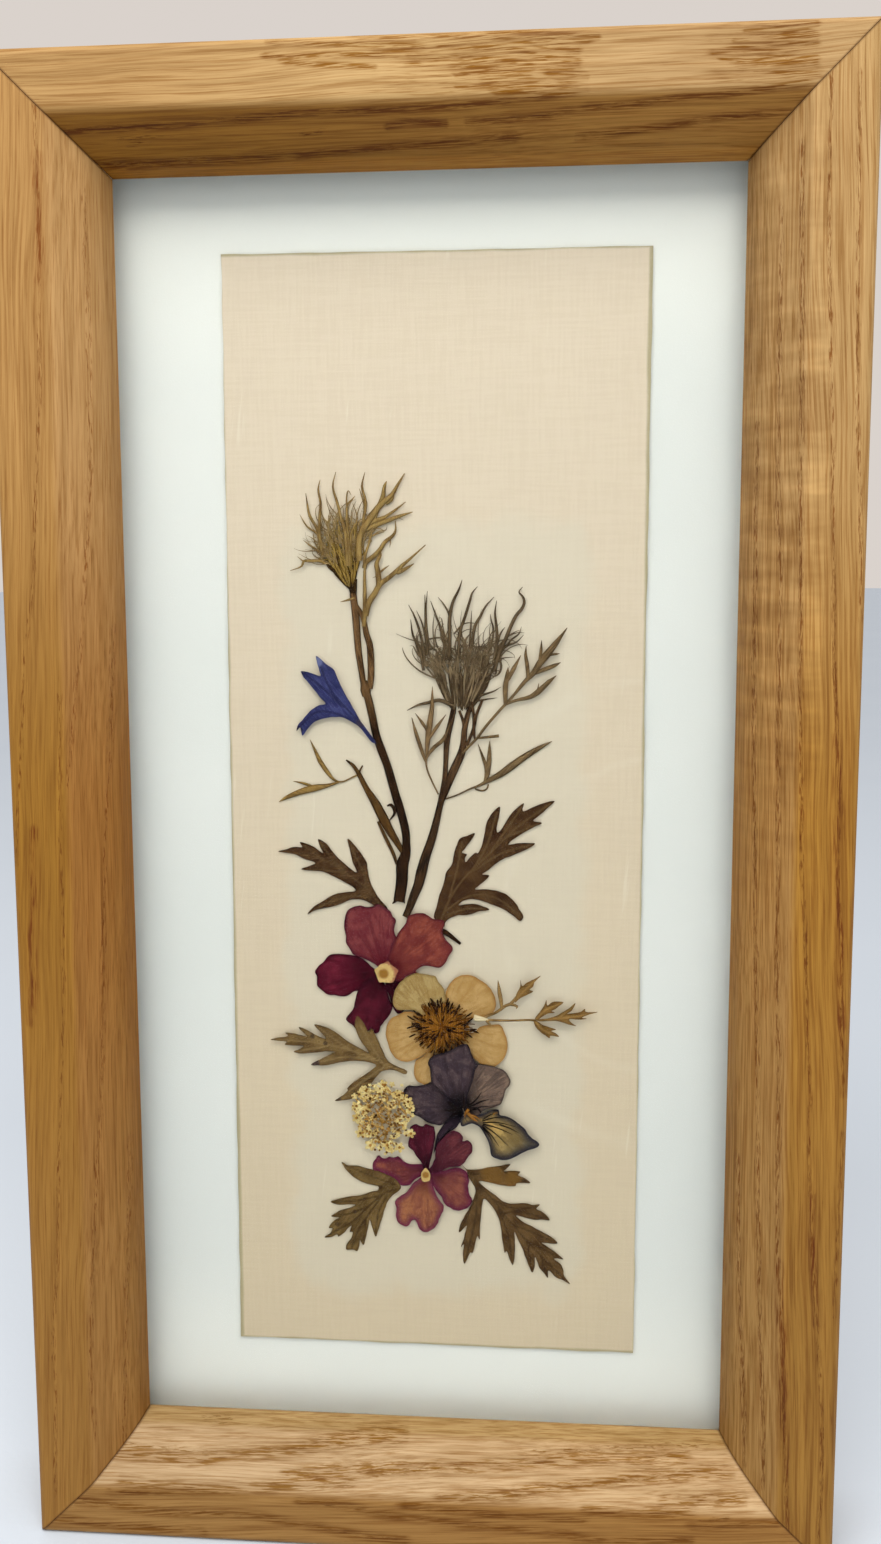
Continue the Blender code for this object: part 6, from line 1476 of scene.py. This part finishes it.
def top_rail():
    broad = [
        [(-65, 13.8), (-55, 13.6), (-45, 13.4), (-33, 12.9), (-22, 12.4), (-10, 12.3)],
        [(-10, 12.3), (10, 11.9), (28, 10.6)],
        [(-59, 18), (-50, 18.1), (-40, 18), (-28, 17.8), (-14, 17.3), (0, 16.8), (17, 16.2)],
        [(8, 14.1), (20, 13.8), (26, 13.1)], [(28, 12.8), (36, 12.6), (44, 11.9), (52, 11.6), (65, 10.4)],
        [(27, 16.4), (36, 15.9), (44, 15.2), (52, 14.5), (62, 14.3)], [(-6, 14.4), (-2, 13.8), (4, 14.2)],
        [(-8, 3.2), (-2, 3), (2, 2.6), (6, 2.9), (12, 3.4)], [(-24, 4), (-20, 4.6), (-14, 5.1), (-8, 5.6)],
        [(-26, 1), (-18, 1.5), (-8, 1.9), (0, 2.2)],
        [(-27, 3.2), (-18, 3.4), (-8, 3.6), (0, 4.2), (8, 5), (14, 5.6)],
        [(-12, 0.6), (0, 1), (10, 1.4), (16, 2.2), (20, 3)], [(8, 2.6), (14, 3.2), (20, 4.4), (26, 4.8)],
        [(10, 0.6), (18, 0.8), (24, 1.4), (30, 2)], [(18, 1.8), (24, 2.2), (29, 2.9)],
        [(20, 2.9), (26, 3.2)], [(21, 3.8), (27, 4.1)], [(6, 4.2), (12, 4.9), (18, 5.9)],
        [(-2, 5), (6, 5.8), (12, 6.5), (18, 7)], [(20, 5.2), (27, 5.9)], [(6, 7.2), (12, 7.3), (18, 7.8)],
        [(20, 6.6), (27, 7.1)], [(21, 7.6), (28, 8.2)], [(10, 8.4), (18, 8.7), (26, 9.2)],
        [(6, 9.2), (14, 9.4), (22, 9.9), (28, 10.2)], [(12, 10.3), (20, 10.5)],
        [(48, 5.3), (54, 4.4), (60, 4.1), (66, 4.4)], [(52, 3.4), (58, 2.7), (64, 2.2)],
        [(54, 1.8), (60, 1.4), (66, 1.2)], [(50, 6.3), (55, 6.7), (58, 6.2), (62, 5.6)],
        [(53, 5.4), (57, 5.2), (61, 5.4)], [(56, 7.4), (61, 7.3), (66, 7.6)],
        [(56, 8.4), (61, 8.8), (67, 9.2)], [(60, 6.6), (66, 6.7)], [(59, 3.2), (66, 3.1)]]
    thin = [
        [(-65, 13.7), (-52, 13.4), (-44, 13.5)], [(-58, 18), (-44, 18), (-38, 17.8)],
        [(-13, 17.3), (-4, 17)], [(-54, 15.0), (-44, 14.8)], [(-52, 15.7), (-48, 15.4)],
        [(-21, 15.1), (-15, 14.9)], [(-36, 13), (-24, 12.5)], [(46, 15), (58, 14.3)],
        [(30, 12.7), (40, 12.2)], [(12, 13.9), (24, 13.5)], [(-14, 12.2), (-2, 12)]]
    # Painted shade on the slope, which turns down away from the light, and painted light on the front, the
    # frame's top.
    rail("top_rail", (1, 0, 0), (0, 0, -1), thin, broad, seed=3.1, lean=-0.02,
         front=[(-60, (166, 130, 79)), (0, (183, 150, 99)), (50, (175, 142, 95))],
         slope=[(-50, (134, 91, 28)), (50, (156, 112, 51))], lip=(1.2, 1.15, 1.0),
         dark=((0.46, 0.28, 0.01), (0.42, 0.26, 0.04)), breadth=1.0,
         bands=(0.43, 0.56), flames=[(9, 26, 5, 9), (57, 12, 5, 9)])


def bottom_rail():
    broad = [
        [(-74, 3.6), (-68, 2.9), (-60, 2.3), (-50, 2.4), (-44, 2.0)],
        [(-69, 7.6), (-62, 6.9), (-55, 6.0), (-45, 5.9), (-35, 6.2), (-28, 5.4), (-20, 4.2), (-12, 3.0),
         (-4, 2.5)], [(-25, 9.6), (-18, 9.4), (-10, 8.0), (0, 7.0), (10, 6.4), (20, 5.9), (28, 5.5)],
        [(-5, 9.9), (5, 9.3), (14, 8.6), (22, 8.7), (30, 8.9)], [(28, 5.0), (36, 4.7), (42, 5.1), (50, 5.5)],
        [(-62, 9.6), (-50, 10.3), (-42, 10.7), (-34, 10.9)], [(50, 8.6), (60, 9.2), (66, 9.9)],
        [(30, 10.4), (40, 10.6), (50, 10.9)],
        [(-60, 11.3), (-50, 11.1), (-42, 11), (-30, 11.7), (-22, 12.4), (-15, 13)],
        [(-62, 15), (-52, 14.7), (-45, 14.6), (-40, 15.3), (-30, 15.9), (-22, 16.9), (-12, 17.9),
         (-5, 18.3)],
        [(-28, 13.2), (-18, 14), (-8, 14.6), (0, 15), (8, 15.3), (16, 15.9), (26, 16.5), (40, 17),
         (50, 17.3)],
        [(2, 11.2), (10, 11.6), (18, 12.4), (26, 13.6), (34, 14.2), (42, 15), (50, 15.6), (58, 16.1)],
        [(45, 12.2), (52, 12.6), (60, 13.2)]]
    thin = [
        [(-61, 15.9), (-50, 15.7), (-42, 15.6)], [(-12, 13.6), (-4, 14.5), (4, 14.9), (10, 14.8)],
        [(20, 17.2), (30, 17.6), (40, 18), (55, 18.6)], [(-46, 18.8), (-40, 18.8)], [(8, 11.5), (18, 12.2)],
        [(22, 13.0), (34, 14.2), (44, 15.0)], [(-68, 7.5), (-60, 6.6)], [(-50, 6.1), (-36, 6.1)],
        [(-16, 3.7), (-5, 2.6)], [(-34, 16), (-24, 16.8)], [(-20, 9.3), (-12, 8.4)], [(50, 9.8), (58, 10.4)]]
    # Painted light on the slope, which turns up towards the light, and painted shade on the front, lowest in
    # the frame.
    rail("bottom_rail", (1, 0, 0), (0, 0, 1), thin, broad, seed=7.7, lean=0.06,
         front=[(-60, (149, 111, 60)), (60, (152, 110, 55))],
         slope=[(-50, (183, 155, 116)), (50, (191, 160, 117))], lip=(0.82, 0.78, 0.6),
         dark=((0.49, 0.34, 0.06), (0.47, 0.31, 0.06)), breadth=1.7)


def left_stile():
    thin = [
        [(8, 3.3), (20, 3.7), (30, 4.3), (42, 4.3), (55, 5.6), (65, 6.1), (78, 6.8), (90, 7.5), (100, 8.2),
         (110, 8.8), (125, 9.3), (140, 9.4), (155, 9.9), (168, 10.2)],
        [(135, 0.8), (145, 1.3), (155, 2.3), (165, 3.2), (175, 4), (185, 5.8), (195, 6.6), (205, 7.3),
         (215, 8.1), (225, 8.8), (235, 9.1), (245, 9.6), (258, 9.7), (272, 9.4)],
        [(20, 11.7), (35, 11.4), (50, 11.9), (60, 12.5), (75, 13.3), (85, 14.1), (100, 14.9), (115, 15.3),
         (130, 15.8), (145, 16.6), (160, 17.5), (180, 18.2)],
        [(150, 11), (160, 12), (170, 13), (180, 14), (190, 14.8), (200, 15.4), (210, 15.9), (225, 16.2),
         (258, 16.2)], [(14, 16), (30, 16.6), (45, 17), (60, 17.6), (80, 18.3)]]
    broad = [[(105, 2.8), (118, 3.2), (130, 3.6), (142, 4.2)], [(240, 9.4), (262, 9.6)]]
    # Painted light: lighter towards the top of the frame, where more light falls, and darker lower down.
    rail("left_stile", (0, 0, 1), (1, 0, 0), thin, broad, seed=1.4, lean=0.04,
         front=[(40, (145, 104, 46)), (140, (144, 101, 33)), (230, (165, 125, 71))],
         slope=[(40, (155, 113, 59)), (140, (152, 104, 47)), (230, (181, 141, 89))], lip=(0.9, 0.86, 0.78),
         dark=((0.5, 0.26, 0.04), (0.5, 0.27, 0.06)), breadth=1.7, bands=(0.49, 0.62), fineness=0.5)


def right_stile():
    thin = [
        [(5, 3), (20, 2.7), (35, 3.2), (50, 4.4), (62, 5.4), (75, 6.3), (85, 7), (95, 7), (105, 7.7),
         (120, 8.4), (135, 9.4), (150, 10), (165, 10.6), (180, 10.9), (195, 11.3), (215, 11.7), (235, 12.1),
         (262, 12.7)],
        [(95, 1), (110, 2), (122, 2.3), (135, 3.4), (148, 3.4), (160, 4.3), (175, 5.2), (190, 5.7),
         (205, 6.3), (220, 6.9), (235, 7.7), (250, 8.3), (272, 8.6)],
        [(8, 8.7), (20, 9.2), (35, 10.2), (50, 10.9), (62, 11.7), (75, 12), (90, 12.2), (105, 12.6),
         (120, 13.1), (135, 13.2), (150, 13.6), (170, 13.9), (190, 14), (200, 14.7), (220, 14.9),
         (252, 15.3)],
        [(15, 13), (30, 13.3), (45, 14), (60, 14.5), (75, 15), (90, 15.3), (110, 15.9), (130, 16.5),
         (150, 17), (170, 17.4), (190, 17.6), (215, 17.8)],
        [(15, 16), (30, 16.3), (45, 17), (60, 17.6), (80, 18)],
        [(180, 0.8), (200, 1.5), (215, 2.5), (230, 3), (250, 3.5), (272, 4)],
        [(52, 1.4), (70, 1.2), (88, 0.9)]]
    broad = [
        [(95, 1), (110, 2), (122, 2.3), (135, 3.4), (148, 3.4), (160, 4.3)],
        [(50, 4.4), (62, 5.4), (75, 6.3)], [(20, 9.2), (35, 10.2), (50, 10.9), (62, 11.7)],
        [(8, 8.5), (12, 8.9)]]
    # Painted light: lighter towards the top of the frame, where more light falls, and darker lower down.
    rail("right_stile", (0, 0, 1), (-1, 0, 0), thin, broad, seed=5.3, lean=0.038,
         front=[(40, (146, 105, 43)), (140, (156, 111, 41)), (230, (176, 141, 90))],
         slope=[(40, (157, 121, 69)), (140, (160, 120, 66)), (230, (167, 133, 85))], lip=(0.9, 0.86, 0.78),
         dark=((0.44, 0.22, 0.03), (0.42, 0.22, 0.05)), dashes=(0.46, 0.6),
         breadth=1.5, bands=(0.49, 0.62), ripple=(200, 95, 8, 0.6), fineness=0.9)


top_rail()
bottom_rail()
left_stile()
right_stile()


# ---------------------------------------------------------------------------------------------------------
# Behind: the brown fibreboard, cut from a pressed sheet, that closes the rebate. Six flat zinc tabs, shot
# into the wood round it, hold it there.
def fibreboard_finish():
    board = Finish("brown_fibreboard", Roughness=0.8)
    fibres = board.noise(board.point(), 0.6, 4, 0.65)
    cloud = board.noise(board.point(), 18, 3)
    colour = board.blend(cloud.part(0.3, 0.7), (134, 100, 66), (118, 86, 54))
    colour = board.blend(fibres.part(0.45, 0.75) * 0.5, colour, (88, 62, 38))
    colour = board.blend(fibres.part(0.4, 0.2) * 0.4, colour, (160, 128, 92))
    return board.paint(colour, relief=fibres, depth=0.06)


def metal_finish(name, bright, dull):
    metal = Finish(name, Metallic=1.0, Specular_IOR_Level=0.5)
    cloud = metal.noise(metal.point(), 2.5, 3)
    brushed = metal.noise(metal.point(size=(0.15, 1, 4)), 1, 3)
    colour = metal.blend(cloud.part(0.35, 0.7), bright, dull)
    return metal.paint(colour, brushed, 0.02, 0.28 + cloud * 0.2 + brushed * 0.12)


refinish("backing_board", fibreboard_finish())
zinc = metal_finish("zinc_tabs", (196, 198, 202), (150, 152, 156))
for tab in ("tab_top", "tab_bottom", "tab_left_upper", "tab_left_lower", "tab_right_upper",
            "tab_right_lower"):
    refinish(tab, zinc)


# ---------------------------------------------------------------------------------------------------------
# The toothed hanger on the back of the top rail: a strip of brassed steel, pressed with a row of teeth. Two
# round pins through its ends hold it to the wood.
brass = metal_finish("brassed_steel", (214, 182, 110), (176, 142, 78))
for part in ("sawtooth_hanger", "hanger_pin_left", "hanger_pin_right"):
    refinish(part, brass)


# ---------------------------------------------------------------------------------------------------------
# The room: a plain pale floor, a pale surround that is brighter above and in front, and a large soft light
# above. None of it belongs to the part.
FLOOR_SIZE = 8.0  # metres
SOFTBOX_WIDTH, SOFTBOX_LENGTH, SOFTBOX_WATTS = 0.7, 0.4, 4.9  # its sides in metres


def floor():
    ground = Finish("pale_floor", Roughness=0.85)
    bpy.ops.object.select_all(action="DESELECT")
    bpy.ops.mesh.primitive_plane_add(size=FLOOR_SIZE, location=(0, 0, 0))
    plane = bpy.context.object
    plane.name = "floor"
    tone = ground.noise(ground.point(), 120, 3)
    plane.data.materials.append(
        ground.paint(ground.blend(tone, (206, 216, 226), (212, 221, 230)),
                     relief=ground.noise(ground.point(), 1.5, 3), depth=0.05))


def surround():
    """A plain studio: brighter up and to the front, and a little warmer behind."""
    world = bpy.data.worlds.new("studio")
    bpy.context.scene.world = world
    world.use_nodes = True
    nodes, links = world.node_tree.nodes, world.node_tree.links
    direction = nodes.new("ShaderNodeTexCoord")
    upward = nodes.new("ShaderNodeVectorMath")
    upward.operation = "DOT_PRODUCT"
    upward.inputs[1].default_value = (0.0, -0.8, 0.6)
    strength = nodes.new("ShaderNodeMapRange")
    strength.inputs["From Min"].default_value = -0.5
    strength.inputs["To Min"].default_value = 0.7
    strength.inputs["To Max"].default_value = 0.86
    tint = nodes.new("ShaderNodeMix")
    tint.data_type = "RGBA"
    tint.inputs[MIX_FIRST].default_value = (1.0, 0.92, 0.86, 1.0)
    tint.inputs[MIX_SECOND].default_value = (0.93, 0.95, 1.0, 1.0)
    links.new(direction.outputs["Generated"], upward.inputs[0])
    links.new(upward.outputs["Value"], strength.inputs["Value"])
    links.new(upward.outputs["Value"], tint.inputs[MIX_SHARE])
    links.new(tint.outputs[MIX_RESULT], nodes["Background"].inputs["Color"])
    links.new(strength.outputs["Result"], nodes["Background"].inputs["Strength"])


def soft_light():
    bpy.ops.object.light_add(type="AREA", location=(-0.05, -0.42, 0.68))
    light = bpy.context.object
    light.name = "softbox"
    light.data.shape = "RECTANGLE"
    light.data.size, light.data.size_y = SOFTBOX_WIDTH, SOFTBOX_LENGTH
    light.data.energy = SOFTBOX_WATTS
    light.data.color = (1.0, 0.97, 0.93)
    aim = Vector((0, 0, 0.16)) - light.location
    light.rotation_euler = aim.to_track_quat("-Z", "Y").to_euler()


floor()
surround()
soft_light()
